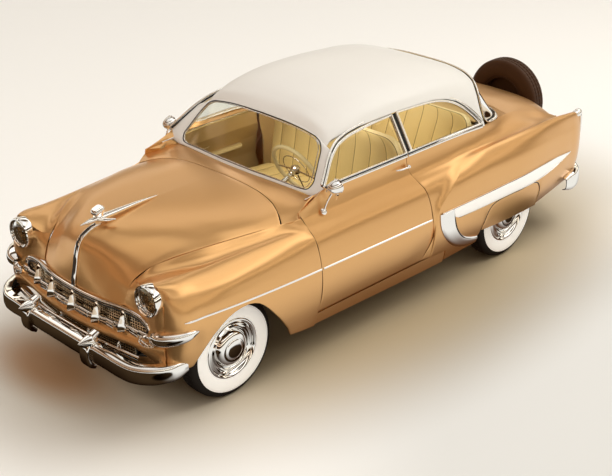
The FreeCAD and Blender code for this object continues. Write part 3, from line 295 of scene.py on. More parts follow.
def oval(width, height, count):
    """A section that is an ellipse."""
    angles = np.linspace(0, 2 * math.pi, count, endpoint=False)
    return np.stack([width / 2 * np.cos(angles), height / 2 * np.sin(angles)], axis=1)


def rounded(width, height, radius, each):
    """A section that is a rectangle with round corners, with each corner in this many steps."""
    corners = []
    for number, (side, rise) in enumerate(((1, 1), (-1, 1), (-1, -1), (1, -1))):
        for step in range(each + 1):
            angle = math.pi / 2 * (number + step / each)
            corners.append((
                side * (width / 2 - radius) + radius * math.cos(angle),
                rise * (height / 2 - radius) + radius * math.sin(angle)))
    return np.array(corners)


def turned(profile, centre, axis, steps, spoke=None):
    """A closed profile of (radius, along) places turned about an axis. spoke changes the radii."""
    axis = np.asarray(axis, float) / np.linalg.norm(axis)
    helper = np.array((0.0, 0.0, 1.0)) if abs(axis[2]) < 0.9 else np.array((1.0, 0.0, 0.0))
    first = np.cross(helper, axis)
    first /= np.linalg.norm(first)
    second = np.cross(axis, first)
    angles = np.linspace(0, 2 * math.pi, steps, endpoint=False)
    ring = np.cos(angles)[:, None] * first + np.sin(angles)[:, None] * second
    profile = np.asarray(profile, float)
    radii = np.broadcast_to(profile[:, 0], (steps, len(profile))).copy()
    if spoke is not None:
        radii += spoke(angles[:, None], profile[None, :, 0], profile[None, :, 1])
    points = (
        np.asarray(centre, float)
        + ring[:, None, :] * radii[..., None]
        + axis * profile[None, :, 1, None])
    return points.reshape(-1, 3), grid_faces(steps, len(profile), wrap=True, loop=True)


def piece(name, body, shape, materials, replaces=(), sharp=38):
    """Makes a mesh object from a shape, on a CAD body."""
    mesh = bpy.data.meshes.new(name)
    points = np.concatenate(shape.points)
    mesh.from_pydata(points.tolist(), [], shape.faces)
    mesh.update()
    for material in materials:
        mesh.materials.append(material)
    mesh.polygons.foreach_set("material_index", shape.finishes)
    mesh.polygons.foreach_set("use_smooth", [True] * len(shape.faces))
    mesh.set_sharp_from_angle(angle=math.radians(sharp))
    thing = bpy.data.objects.new(name, mesh)
    bpy.context.scene.collection.objects.link(thing)
    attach(thing, body)
    if replaces:
        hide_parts(*replaces)
    return thing


# ---------------------------------------------------------------- finishes
def add_node(tree, kind, links=(), **inputs):
    """A new shader node. links are (output, socket) pairs that lead into it, inputs are values of sockets."""
    node = tree.nodes.new("ShaderNode" + kind)
    for output, socket in links:
        tree.links.new(output, node.inputs[socket])
    for socket, value in inputs.items():
        node.inputs[socket.replace("_", " ")].default_value = value
    return node


def two_colours(tree, amount, low, high, stops=(0, 1)):
    """A colour that goes from low to high as the amount goes from the first stop to the second."""
    ramp = add_node(tree, "ValToRGB", [(amount, "Fac")])
    for element, stop, colour in zip(ramp.color_ramp.elements, stops, (low, high)):
        element.position = stop
        element.color = (*colour, 1)
    return ramp.outputs["Color"]


def finish_of(name, colour, rough, metal=0.0, coat=0.0, **sockets):
    """A material and its shader node."""
    material = bpy.data.materials.new(name)
    material.use_nodes = True
    shader = material.node_tree.nodes["Principled BSDF"]
    shader.inputs["Base Color"].default_value = (*colour, 1)
    shader.inputs["Roughness"].default_value = rough
    shader.inputs["Metallic"].default_value = metal
    shader.inputs["Coat Weight"].default_value = coat
    for socket, value in sockets.items():
        shader.inputs[socket.replace("_", " ")].default_value = value
    return material, shader


# Where along the grain its two colours are reached.
GRAIN_STOPS = (0.3, 0.7)


def grain(material, shader, size, low, high, colours, bump, kind):
    """Fine variation in roughness, and where asked in colour and height, by place on the object."""
    tree = material.node_tree
    place = add_node(tree, "TexCoord").outputs["Object"]
    if kind == "noise":
        value = add_node(tree, "TexNoise", [(place, "Vector")], Scale=size, Detail=4).outputs["Fac"]
    else:
        value = add_node(tree, "TexVoronoi", [(place, "Vector")], Scale=size).outputs["Distance"]
    spread = add_node(tree, "MapRange", [(value, "Value")], To_Min=low, To_Max=high)
    tree.links.new(spread.outputs["Result"], shader.inputs["Roughness"])
    if colours:
        colour = two_colours(tree, value, *colours, GRAIN_STOPS)
        tree.links.new(colour, shader.inputs["Base Color"])
    if bump:
        relief = add_node(tree, "Bump", [(value, "Height")], Strength=bump, Distance=0.001)
        tree.links.new(relief.outputs["Normal"], shader.inputs["Normal"])
    return material


def made(name, colour, low, high, size, metal=0.0, coat=0.0, colours=None, bump=0.0, kind="noise",
         **sockets):
    """A finish with fine variation."""
    material, shader = finish_of(name, colour, (low + high) / 2, metal, coat, **sockets)
    return grain(material, shader, size, low, high, colours, bump, kind)


PAINT = made("copper_enamel", (0.78, 0.44, 0.175), 0.29, 0.35, 900, 0.88, 0.18,
             colours=((0.75, 0.418, 0.163), (0.81, 0.462, 0.188)), Coat_Roughness=0.14)
ROOF_PAINT = made("cream_enamel", (0.76, 0.75, 0.72), 0.42, 0.48, 500, 0.0, 0.2,
                  colours=((0.74, 0.73, 0.70), (0.78, 0.77, 0.74)), Coat_Roughness=0.25)
CHROME = made("chrome", (0.90, 0.88, 0.85), 0.03, 0.06, 300, 1.0)
SATIN = made("satin_chrome", (0.88, 0.87, 0.85), 0.16, 0.24, 300, 1.0)
# The white enamel glows a little: painted light that keeps it brighter than the lamps alone make it.
WHITE = made("white_enamel_painted_glow", (0.94, 0.93, 0.91), 0.2, 0.3, 400, 0.0, 0.4, Emission_Color=(1, 0.99, 0.96, 1),
             Emission_Strength=0.16)
LAMP_BOWL = made("lamp_bowl", (0.20, 0.14, 0.08), 0.12, 0.25, 150, 1.0, kind="voronoi", bump=1.0)
LAMP_RIB = made("lamp_rib", (0.42, 0.34, 0.22), 0.08, 0.16, 200, 1.0)
# Black for small parts, also used as painted shade behind the grille's screens and under its moulding.
BLACK = made("black_paint_and_painted_shade", (0.02, 0.018, 0.016), 0.4, 0.55, 200)
MESH = made("pale_mesh", (0.84, 0.74, 0.56), 0.2, 0.3, 200, 1.0)
GROOVE = made("black_rubber_strip", (0.012, 0.011, 0.01), 0.5, 0.6, 200)
CHASSIS = made("chassis_paint", (0.03, 0.028, 0.026), 0.5, 0.7, 80,
               colours=((0.022, 0.02, 0.018), (0.045, 0.04, 0.035)), bump=0.2)
IRON = made("cast_iron", (0.12, 0.115, 0.11), 0.55, 0.75, 120, 0.5, bump=0.4)
STEEL = made("bare_steel", (0.42, 0.41, 0.40), 0.3, 0.45, 150, 1.0)
TYRE = made("tyre_rubber", (0.018, 0.014, 0.012), 0.6, 0.75, 400, bump=0.15, Specular_IOR_Level=0.2)
# The white side of the tyres glows a little: painted light that keeps it brighter than the lamps alone make
# it.
WHITEWALL = made("whitewall_rubber_painted_glow", (0.92, 0.91, 0.89), 0.45, 0.55, 300, bump=0.05,
                 colours=((0.90, 0.89, 0.86), (0.94, 0.93, 0.91)), Emission_Color=(1, 0.99, 0.97, 1),
                 Emission_Strength=0.22)
SPARE_RUBBER = made("brown_rubber", (0.05, 0.021, 0.009), 0.45, 0.58, 300,
                    colours=((0.042, 0.017, 0.007), (0.06, 0.026, 0.011)), bump=0.1,
                    Specular_IOR_Level=0.25)
CLOTH = made("olive_gold_cloth", (0.78, 0.63, 0.31), 0.55, 0.7, 700,
             colours=((0.73, 0.585, 0.275), (0.83, 0.68, 0.345)), bump=0.25)
PIPING = made("pale_gold_vinyl", (0.82, 0.70, 0.41), 0.4, 0.5, 500,
              colours=((0.79, 0.66, 0.37), (0.85, 0.74, 0.45)), bump=0.15)
TRIM = made("tan_trim", (0.60, 0.43, 0.21), 0.45, 0.6, 400,
            colours=((0.56, 0.40, 0.19), (0.64, 0.46, 0.23)), bump=0.15)
IVORY = made("ivory_plastic", (0.88, 0.78, 0.48), 0.2, 0.3, 200, 0.0, 0.4)
DASH = made("tan_enamel", (0.62, 0.42, 0.19), 0.3, 0.4, 300, 0.3, 0.3)
CARPET = made("brown_carpet", (0.13, 0.09, 0.05), 0.85, 0.95, 900,
              colours=((0.09, 0.06, 0.03), (0.18, 0.125, 0.07)), bump=0.6)
HEADLINING = made("cream_headlining", (0.84, 0.78, 0.62), 0.8, 0.9, 700,
                  colours=((0.81, 0.75, 0.59), (0.87, 0.81, 0.66)), bump=0.2)
RED = made("red_lens", (0.30, 0.012, 0.008), 0.1, 0.16, 200, 0.0, 0.5)


def glass_finish(name, colour, rough=0.0):
    """Clear glass that lets light straight through and still reflects."""
    material, shader = finish_of(name, colour, rough, Transmission_Weight=1.0, IOR=1.14)
    tree = material.node_tree
    clear = add_node(tree, "BsdfTransparent", Color=(*colour, 1))
    path = add_node(tree, "LightPath").outputs
    straight = add_node(tree, "Math", [(path["Is Shadow Ray"], 0), (path["Is Diffuse Ray"], 1)])
    straight.operation = "MAXIMUM"
    mix = add_node(tree, "MixShader", [
        (straight.outputs["Value"], "Fac"), (shader.outputs["BSDF"], 1), (clear.outputs["BSDF"], 2)])
    tree.links.new(mix.outputs["Shader"], tree.nodes["Material Output"].inputs["Surface"])
    return material


GLASS = glass_finish("window_glass", (0.93, 0.92, 0.86))
LENS = glass_finish("lamp_glass", (0.96, 0.95, 0.92), 0.02)


# ---------------------------------------------------------------- body panels
PANEL = 0.010
THIN_PANEL = 0.008

# Each row of the hood, from the grille's edge to the cowl: places from the middle to the seam.
HOOD = (
    ((0, -628, 752), (100, -626, 752), (200, -619, 750), (290, -605, 748), (350, -591, 747),
     (400, -575, 746), (428, -562, 746)),
    ((0, -616, 837), (95, -609, 836), (190, -598, 832), (275, -580, 828), (340, -562, 822),
     (395, -548, 815), (430, -541, 808)),
    ((0, -593, 947), (85, -578, 944), (175, -560, 938), (260, -545, 925), (330, -530, 905),
     (395, -520, 883), (436, -514, 872)),
    ((0, -569, 1026), (85, -548, 1018), (175, -528, 1006), (260, -510, 988), (335, -492, 960),
     (405, -478, 932), (449, -470, 918)),
    ((0, -533, 1069), (90, -505, 1060), (185, -485, 1046), (275, -462, 1026), (355, -440, 998),
     (430, -420, 972), (480, -412, 962)),
    ((0, -455, 1107), (100, -425, 1096), (205, -395, 1082), (305, -365, 1065), (395, -330, 1044),
     (485, -300, 1024), (556, -290, 1018)),
    ((0, -300, 1126), (120, -280, 1118), (245, -250, 1108), (360, -215, 1096), (460, -182, 1080),
     (550, -158, 1062), (622, -150, 1048)),
    ((0, 15, 1150), (140, 25, 1146), (285, 40, 1137), (410, 55, 1124), (520, 75, 1106), (608, 92, 1084),
     (676, 108, 1056)),
    ((0, 300, 1158), (155, 300, 1155), (310, 300, 1147), (445, 300, 1133), (570, 300, 1111),
     (655, 300, 1086), (714, 305, 1057)),
    ((0, 622, 1162), (160, 622, 1160), (320, 621, 1152), (430, 616, 1139), (570, 588, 1114),
     (665, 544, 1086), (741, 494, 1050)),
)
hood = Shape().add(*wide_plate(HOOD, 110, 64, PANEL, ABOVE))
piece("hood_skin", "hood", hood, [PAINT], ["hood"])

# Each row of a fender, from the lamp back to the door: seam, valley, inner crest, crest, upper side,
# middle side, widest, lower, sill.
FENDER = (
    ((457, -476, 912), (520, -506, 914), (600, -528, 950), (694, -536, 982), (772, -540, 912),
     (790, -542, 840), (798, -548, 760), (800, -560, 560), (788, -556, 430)),
    ((468, -452, 930), (545, -480, 932), (630, -504, 966), (704, -512, 986), (804, -518, 924),
     (838, -522, 840), (849, -528, 760), (842, -540, 560), (818, -536, 424)),
    ((484, -412, 960), (566, -434, 948), (645, -458, 972), (713, -472, 988), (826, -478, 930),
     (874, -482, 840), (889, -488, 760), (874, -500, 560), (846, -500, 412)),
    ((560, -290, 1014), (618, -292, 975), (676, -300, 976), (728, -304, 986), (852, -308, 920),
     (902, -308, 838), (920, -308, 760), (910, -308, 560), (884, -308, 396)),
    at(-150, (626, 1045), (672, 1000), (715, 985), (756, 986), (882, 908), (916, 836), (933, 760),
       (929, 540), (907, 388)),
    at(108, (680, 1053), (716, 1014), (748, 997), (783, 994), (896, 914), (926, 838), (942, 758),
       (937, 530), (907, 360)),
    at(305, (718, 1055), (748, 1020), (776, 1004), (808, 998), (902, 920), (930, 840), (946, 756),
       (938, 515), (902, 335)),
    ((750, 505, 1056), (782, 508, 1026), (806, 512, 1010), (836, 516, 998), (905, 522, 926),
     (932, 530, 841), (948, 534, 754), (938, 538, 505), (895, 534, 300)),
    ((806, 623, 1068), (825, 632, 1038), (848, 642, 1010), (872, 648, 978), (906, 656, 928),
     (932, 664, 841), (948, 668, 752), (938, 674, 500), (888, 664, 285)),
)
# The fender's lower edge, round the wheel's arch: station, up.
FENDER_LOW = (
    (-700, 424), (-450, 424), (-398, 424), (-330, 520), (-265, 604), (-200, 662), (-145, 696),
    (-90, 715), (-35, 724), (20, 725), (68, 715), (110, 697), (155, 662), (200, 617), (300, 502),
    (396, 377), (430, 305), (450, 292), (800, 280)
)
# The front face round a headlamp, from its top down: middle to side.
LAMP_FACE = (
    ((457, -478, 914), (520, -508, 914), (600, -530, 910), (690, -540, 904), (766, -546, 890),
     (796, -542, 862)),
    ((440, -520, 868), (518, -534, 862), (600, -540, 852), (690, -552, 847), (766, -557, 842),
     (799, -545, 822)),
    ((434, -548, 805), (516, -548, 797), (600, -548, 790), (690, -560, 787), (766, -563, 782),
     (802, -550, 777)),
    ((431, -564, 750), (515, -560, 740), (600, -552, 722), (690, -562, 700), (766, -568, 694),
     (806, -556, 690)),
)
# Between the end of the grille's opening and the fender's corner.
CORNER_FACE = (
    ((650, -554, 705), (700, -562, 700), (760, -568, 694), (806, -556, 692)),
    ((654, -556, 660), (705, -566, 656), (762, -572, 652), (810, -564, 650)),
    ((650, -562, 606), (705, -572, 606), (762, -578, 606), (812, -570, 606)),
)

fenders = Shape()
fender_grid = trimmed(skin(FENDER, 110, 84), FENDER_LOW, 40)
fenders.both(*plate(fender_grid, PANEL, LEFT))


def to_edge(grid, edge):
    """The grid with its last column on an edge, at the same heights."""
    result = grid.copy()
    edge = edge[np.argsort(edge[:, 2])]
    for axis in (0, 1):
        result[:, -1, axis] = np.interp(grid[:, -1, 2], edge[:, 2], edge[:, axis])
    return result


for table, down, over in ((LAMP_FACE, 16, 24), (CORNER_FACE, 10, 14)):
    fenders.both(*plate(to_edge(skin(table, down, over), fender_grid[0, 40:]), PANEL, AHEAD, 0))

# The cowl between the hood and the windshield, from the middle to the fender, and its corner at the door.
COWL = (
    ((0, 628, 1162), (160, 628, 1160), (320, 627, 1152), (432, 622, 1139), (573, 593, 1114),
     (670, 548, 1086), (748, 501, 1052)),
    ((0, 695, 1160), (165, 698, 1158), (330, 706, 1151), (455, 706, 1140), (590, 690, 1122),
     (690, 655, 1104), (782, 556, 1062)),
    ((0, 762, 1158), (170, 768, 1156), (350, 786, 1150), (500, 806, 1143), (620, 824, 1132),
     (712, 838, 1122), (806, 608, 1078)),
)
COWL_CORNER = (
    ((806, 608, 1078), (804, 607, 1090), (800, 606, 1102), (797, 606, 1116)),
    ((776, 680, 1092), (782, 668, 1104), (786, 660, 1118), (788, 654, 1130)),
    ((745, 760, 1107), (756, 740, 1122), (766, 724, 1136), (774, 714, 1150)),
    ((712, 838, 1122), (728, 818, 1138), (744, 800, 1152), (758, 788, 1166)),
)
fenders.add(*wide_plate(COWL, 20, 50, PANEL, ABOVE))
fenders.both(*plate(skin(COWL_CORNER, 12, 8), PANEL, LEFT))
piece("fender_skins", "body", fenders, [PAINT], ["front_fenders"])

# Each row of a door, from its front edge to its rear edge: belt, shoulder, crease, high, upper side,
# middle side, widest, lower, sill.
DOOR = (
    ((797, 611, 1114), (802, 614, 1096), (809, 628, 1068), (832, 638, 1032), (906, 661, 928),
     (932, 669, 841), (948, 673, 752), (938, 680, 500), (914, 668, 402)),
    at(724, (787, 1152), (794, 1118), (811, 1066), (836, 1026), (906, 929), (932, 842), (948, 752),
       (938, 500), (914, 402)),
    at(862, (781, 1204), (790, 1140), (813, 1064), (840, 1022), (906, 929), (932, 842), (948, 752),
       (938, 500), (914, 402)),
    at(1280, (781, 1204), (790, 1136), (813, 1062), (842, 1020), (906, 929), (932, 842), (948, 752),
       (938, 500), (914, 402)),
    ((781, 1560, 1204), (790, 1560, 1136), (813, 1560, 1062), (842, 1570, 1018), (906, 1580, 929),
     (932, 1590, 842), (948, 1600, 752), (938, 1600, 500), (914, 1600, 402)),
    ((781, 1696, 1204), (790, 1694, 1136), (813, 1712, 1062), (846, 1748, 1010), (906, 1785, 929),
     (932, 1803, 842), (948, 1812, 752), (938, 1828, 540), (914, 1754, 402)),
)
door_grid = skin(DOOR, 70, 64, folds=(2,))

# Each row of a quarter panel, from the door to the tail: edge, shoulder, valley, crest, upper side,
# middle side, widest, lower, sill. The rows ahead of the ridge are as wide as the fender behind it.
QUARTER = (
    ((781, 1702, 1204), (790, 1700, 1136), (815, 1718, 1062), (857, 1754, 1010), (926, 1791, 929),
     (948, 1809, 842), (958, 1818, 752), (943, 1834, 540), (905, 1762, 392)),
    ((780, 1860, 1204), (789, 1860, 1133), (817, 1860, 1060), (860, 1860, 1014), (929, 1868, 930),
     (951, 1872, 842), (961, 1876, 752), (949, 1880, 520), (890, 1850, 290)),
    at(2000, (779, 1203), (788, 1130), (819, 1058), (864, 1020), (936, 932), (957, 842), (965, 752),
       (954, 505), (884, 277)),
    at(2240, (776, 1199), (787, 1128), (822, 1053), (870, 1034), (946, 933), (965, 841), (972, 751),
       (957, 492), (881, 287)),
    at(2440, (774, 1191), (787, 1122), (824, 1050), (872, 1043), (950, 932), (968, 839), (973, 749),
       (957, 482), (884, 298)),
    at(2650, (758, 1174), (780, 1110), (822, 1046), (868, 1047), (948, 930), (967, 836), (972, 745),
       (955, 480), (885, 310)),
    at(2900, (696, 1150), (740, 1088), (798, 1030), (862, 1051), (944, 928), (964, 832), (970, 740),
       (950, 480), (890, 330)),
    at(3200, (622, 1103), (692, 1046), (768, 1006), (850, 1047), (926, 922), (943, 824), (948, 730),
       (928, 480), (870, 350)),
    at(3420, (600, 1044), (668, 992), (752, 982), (828, 1038), (900, 915), (917, 815), (923, 720),
       (902, 490), (850, 372)),
    at(3640, (595, 976), (656, 930), (734, 944), (812, 1012), (872, 898), (890, 805), (896, 712),
       (872, 505), (826, 392)),
    at(3815, (590, 905), (640, 866), (716, 905), (788, 980), (842, 885), (858, 795), (862, 705),
       (842, 515), (802, 415)),
    ((590, 3850, 888), (636, 3850, 850), (706, 3862, 888), (778, 3880, 962), (822, 3875, 880),
     (834, 3870, 795), (838, 3866, 705), (820, 3862, 520), (784, 3852, 430)),
)
# The ridge at the rear fender's front: up, station, how far it swells, how far ahead the swell starts.
RIDGE = (
    (450, 1850, 0, 60),
    (540, 1850, 3, 60),
    (650, 1850, 5, 60),
    (752, 1862, 8, 60),
    (800, 1888, 12, 70),
    (850, 1952, 16, 90),
    (930, 2080, 20, 120),
    (1000, 2195, 14, 130),
    (1040, 2262, 7, 130),
    (1070, 2300, 2, 130),
    (1110, 2330, 0, 130),
)
# The table's row that follows the ridge, its station, and the stations where the pull on its neighbours ends.
RIDGE_ROW = 2
RIDGE_STATION = 2.0
PULLED = (1.84, RIDGE_STATION, 2.5)


def swollen(grid):
    """The quarter panel with the rear fender's front ridge along one row, and hollow ahead of it."""
    up, station, swell, run = np.array(RIDGE, float).T / 1000
    height = grid[..., 2]
    ridge = np.interp(height, up, station)
    swell = np.interp(height, up, swell)
    run = np.interp(height, up, run)
    result = grid.copy()
    pull = np.interp(grid[..., 1] - FRONT_AXLE, PULLED, (0, 1, 0))
    result[..., 1] += (ridge - RIDGE_STATION) * pull
    share = np.clip(1 - (ridge + FRONT_AXLE - result[..., 1]) / run, 0, 1) ** 2
    result[..., 0] -= swell * (1 - share)
    return result


# The quarter panel's lower edge, round the skirt's opening: station, up.
QUARTER_LOW = (
    (1600, 392), (1860, 392), (1900, 386), (2036, 384), (2046, 300), (2060, 276), (2410, 296),
    (2422, 420), (2436, 500), (2462, 572), (2500, 610), (2550, 628), (2620, 636), (2850, 632),
    (3090, 622), (3135, 600), (3165, 556), (3178, 500), (3182, 385), (3200, 370), (3840, 424), (4000, 430)
)
quarters = Shape()
quarter_grid = trimmed(swollen(skin(QUARTER, 190, 76, row_folds=(RIDGE_ROW,))), QUARTER_LOW, 36)
quarters.both(*plate(quarter_grid, PANEL, LEFT))

# The panel below the trunk lid: rows downwards, middle to side.
TAIL = (
    ((0, 3832, 946), (200, 3831, 942), (400, 3828, 926), (506, 3827, 904), (586, 3826, 886)),
    ((0, 3846, 925), (200, 3846, 921), (400, 3846, 906), (506, 3848, 886), (588, 3850, 868)),
    at(3856, (0, 850), (200, 848), (400, 840), (506, 826), (590, 812)),
    ((0, 3860, 700), (200, 3860, 700), (400, 3860, 696), (506, 3859, 690), (590, 3858, 684)),
    ((0, 3858, 560), (200, 3858, 560), (400, 3858, 560), (506, 3857, 558), (590, 3856, 556)),
    at(3846, (0, 460), (200, 460), (400, 460), (506, 460), (590, 460)),
    ((0, 3820, 410), (200, 3820, 410), (400, 3820, 412), (506, 3821, 418), (590, 3824, 426)),
)
tail_grid = skin(TAIL, 36, 30)
tail = Shape().add(*plate(full_width(tail_grid), THIN_PANEL, BACKWARD))
piece("tail_skin", "body", tail, [PAINT], ["tail_panel"])


def between(first, last, steps, bulge):
    """A grid from one edge to another, bulging backwards in the middle."""
    shares = np.linspace(0, 1, steps)[None, :, None]
    grid = first[:, None, :] * (1 - shares) + last[:, None, :] * shares
    grid[..., 1] += bulge * np.sin(math.pi * shares[..., 0])
    return grid


# The rear fenders' closed ends, from the tail panel's side to the quarter panel's last row.
fender_end = between(resampled(tail_grid[:, -1], 60), resampled(quarter_grid[-1], 60), 14, 0.020)
quarters.both(*plate(fender_end, 0.006, BACKWARD, 0))
piece("quarter_skins", "body", quarters, [PAINT], ["quarter_panels"])

# The skirt over a rear wheel: front edge to rear edge, top to bottom, just inside the opening.
SKIRT = (
    ((962, 2428, 505), (956, 2427, 470), (945, 2425, 428)),
    ((966, 2468, 568), (958, 2462, 480), (944, 2458, 422)),
    ((968, 2506, 604), (958, 2500, 490), (943, 2496, 418)),
    at(2560, (969, 622), (957, 500), (942, 414)),
    at(2700, (969, 628), (955, 500), (938, 406)),
    at(2900, (966, 624), (951, 498), (932, 398)),
    at(3088, (956, 616), (941, 492), (921, 392)),
    at(3130, (951, 594), (937, 485), (917, 390)),
    ((945, 3158, 552), (932, 3160, 475), (914, 3160, 388)),
    ((939, 3172, 498), (929, 3174, 450), (913, 3174, 387)),
)
skirts = Shape().both(*plate(skin(SKIRT, 60, 14), PANEL, LEFT))
piece("skirt_skins", "body", skirts, [PAINT], ["fender_skirts"])

# The deck behind the rear window, then the lid: rows from the middle to the quarter panel's edge.
DECK = (
    ((0, 3010, 1187), (200, 3004, 1186), (380, 2984, 1184), (560, 2940, 1177), (704, 2876, 1160)),
    ((0, 3034, 1182), (200, 3031, 1180), (395, 3020, 1175), (550, 2998, 1160), (676, 2966, 1142)),
    at(3058, (0, 1177), (200, 1175), (400, 1164), (540, 1146), (652, 1124)),
)
LID = (
    at(3063, (0, 1177), (200, 1175), (400, 1164), (534, 1146), (646, 1124)),
    at(3300, (0, 1148), (200, 1145), (400, 1132), (518, 1108), (602, 1078)),
    at(3500, (0, 1106), (200, 1103), (400, 1088), (512, 1058), (594, 1018)),
    at(3670, (0, 1054), (200, 1050), (400, 1032), (510, 1000), (590, 962)),
    ((0, 3790, 1000), (200, 3788, 996), (400, 3784, 978), (508, 3780, 948), (586, 3776, 918)),
    ((0, 3828, 955), (200, 3827, 950), (400, 3824, 935), (506, 3822, 912), (585, 3818, 894)),
)
deck = Shape().add(*wide_plate(DECK, 16, 40, PANEL, ABOVE))
piece("deck_skin", "body", deck, [PAINT], ["rear_deck"])
lid = Shape().add(*wide_plate(LID, 60, 40, PANEL, ABOVE))
piece("lid_skin", "trunk_lid", lid, [PAINT], ["trunk_lid"])

# The roof: rows from the windshield to the rear window, middle to belt, trimmed along the side windows.
ROOF = (
    ((0, 1046, 1505), (170, 1048, 1500), (330, 1054, 1488), (460, 1060, 1466), (548, 1056, 1435),
     (600, 1052, 1404), (650, 1046, 1340), (715, 1040, 1240)),
    ((0, 1090, 1548), (170, 1090, 1545), (330, 1090, 1533), (470, 1090, 1505), (560, 1090, 1466),
     (606, 1090, 1428), (660, 1080, 1350), (725, 1075, 1240)),
    at(1180, (0, 1600), (180, 1596), (345, 1580), (485, 1545), (575, 1500), (625, 1448), (680, 1360),
       (745, 1240)),
    at(1420, (0, 1657), (190, 1653), (360, 1635), (505, 1596), (596, 1540), (640, 1474), (690, 1370),
       (762, 1240)),
    at(1760, (0, 1674), (195, 1670), (368, 1652), (515, 1610), (606, 1550), (645, 1488), (694, 1380),
       (764, 1240)),
    at(2100, (0, 1663), (195, 1659), (368, 1641), (515, 1598), (605, 1540), (647, 1478), (694, 1375),
       (758, 1236)),
    at(2400, (0, 1630), (190, 1627), (360, 1612), (505, 1576), (602, 1520), (655, 1442), (702, 1336),
       (750, 1216)),
    ((0, 2600, 1576), (185, 2600, 1574), (350, 2600, 1564), (492, 2598, 1538), (594, 2590, 1490),
     (656, 2580, 1416), (712, 2572, 1306), (770, 2566, 1180)),
    ((0, 2806, 1500), (180, 2800, 1500), (338, 2780, 1494), (472, 2740, 1482), (574, 2692, 1456),
     (644, 2652, 1400), (708, 2622, 1304), (774, 2616, 1176)),
)
ROOF_LOW = (
    (1000, 1350), (1046, 1392), (1100, 1434), (1180, 1455), (1350, 1474), (1550, 1484), (1760, 1487),
    (2000, 1480), (2150, 1471), (2280, 1447), (2380, 1408), (2450, 1362), (2510, 1300), (2556, 1232),
    (2566, 1205), (2572, 1150), (3000, 1150)
)
roof = Shape().add(*plate(full_width(trimmed(skin(ROOF, 130, 70), ROOF_LOW, 30)), 0.014, ABOVE))
piece("roof_skin", "body", roof, [ROOF_PAINT], ["roof"])


# ---------------------------------------------------------------- windows and their frames
def nearest_on(grid, places):
    """Places moved across the car onto a grid, by a flat fit through the grid places round each one."""
    flat = grid.reshape(-1, 3)
    result = []
    for place in places:
        far = (flat[:, 1] - place[1]) ** 2 + (flat[:, 2] - place[2]) ** 2
        near = flat[np.argsort(far)[:10]]
        table = np.column_stack([np.ones(len(near)), near[:, 1] - place[1], near[:, 2] - place[2]])
        fit = np.linalg.lstsq(table, near[:, 0], rcond=None)[0]
        normal = np.array((1.0, -fit[1], -fit[2]))
        result.append((np.array((fit[0], place[1], place[2])), normal / np.linalg.norm(normal)))
    return np.array([pair[0] for pair in result]), np.array([pair[1] for pair in result])


def looped(half):
    """A half line, from the middle to the middle, closed by its mirror image."""
    return np.concatenate([half, flipped(half)[-2:0:-1]])


def edges_of(pairs, count):
    """The outer and the inner closed line of a table of edge pairs."""
    return [looped(line([pair[column] for pair in pairs], count)) for column in (0, 1)]


def band(outer, inner, crown, thick):
    """A closed frame between two closed lines, crowned between them, with a back that is thick away."""
    along = np.roll(outer, -1, axis=0) - np.roll(outer, 1, axis=0)
    normal = np.cross(along, inner - outer)
    normal /= np.linalg.norm(normal, axis=1, keepdims=True)
    if normal[0, 1] > 0:
        normal = -normal
    width = np.linalg.norm(inner - outer, axis=1, keepdims=True)
    ring = []
    for share in (0, 0.15, 0.4, 0.7, 0.9, 1):
        rise = width * crown * (1 - (2 * share - 1) ** 2)
        ring.append(outer + (inner - outer) * share + normal * rise)
    for share in (1, 0):
        ring.append(outer + (inner - outer) * share - normal * thick)
    grid = np.stack(ring, axis=1)
    return grid.reshape(-1, 3), grid_faces(*grid.shape[:2], wrap=True, inverted=True, loop=True)


# The windshield frame, from the middle of its foot up a pillar to the middle of its head: each pair is a
# place on its outer edge and one at the glass.
FRAME_LOOP = (
    ((0, 764, 1160), (0, 773, 1182)),
    ((180, 769, 1159), (180, 778, 1180)),
    ((350, 787, 1153), (350, 797, 1173)),
    ((500, 807, 1145), (500, 817, 1164)),
    ((612, 826, 1136), (592, 832, 1158)),
    ((704, 838, 1130), (640, 844, 1164)),
    ((774, 838, 1166), (664, 870, 1198)),
    ((764, 884, 1242), (650, 915, 1254)),
    ((724, 950, 1312), (626, 965, 1320)),
    ((676, 1040, 1388), (594, 1022, 1390)),
    ((606, 1052, 1406), (566, 1042, 1424)),
    ((548, 1057, 1438), (522, 1050, 1446)),
    ((460, 1061, 1469), (455, 1055, 1459)),
    ((330, 1055, 1491), (330, 1049, 1477)),
    ((0, 1047, 1508), (0, 1039, 1493)),
)
FRONT_SLOPE = (0, -0.7, 0.7)
frame_edge, glass_edge = edges_of(FRAME_LOOP, 120)
pillars = Shape().add(*band(frame_edge, glass_edge, 0.07, 0.014))
piece("windshield_frame", "body", pillars, [ROOF_PAINT])
seal = Shape().add(*sweep(glass_edge, oval(0.008, 0.010, 10), FRONT_SLOPE, loop=True))
piece("windshield_seal", "body", seal, [GROOVE])
# The bright reveal lies a little inside the seal and ahead of it.
reveal_edge = glass_edge * (0.985, 1, 1) + (0, -0.004, 0.002)
centre = reveal_edge.mean(axis=0)
reveal_edge = centre + (reveal_edge - centre) * (0.99, 0.965, 0.965) + (0, -0.004, 0.0)
reveal = Shape().add(*sweep(reveal_edge, oval(0.006, 0.006, 8), FRONT_SLOPE, loop=True))
piece("windshield_reveal", "body", reveal, [SATIN])

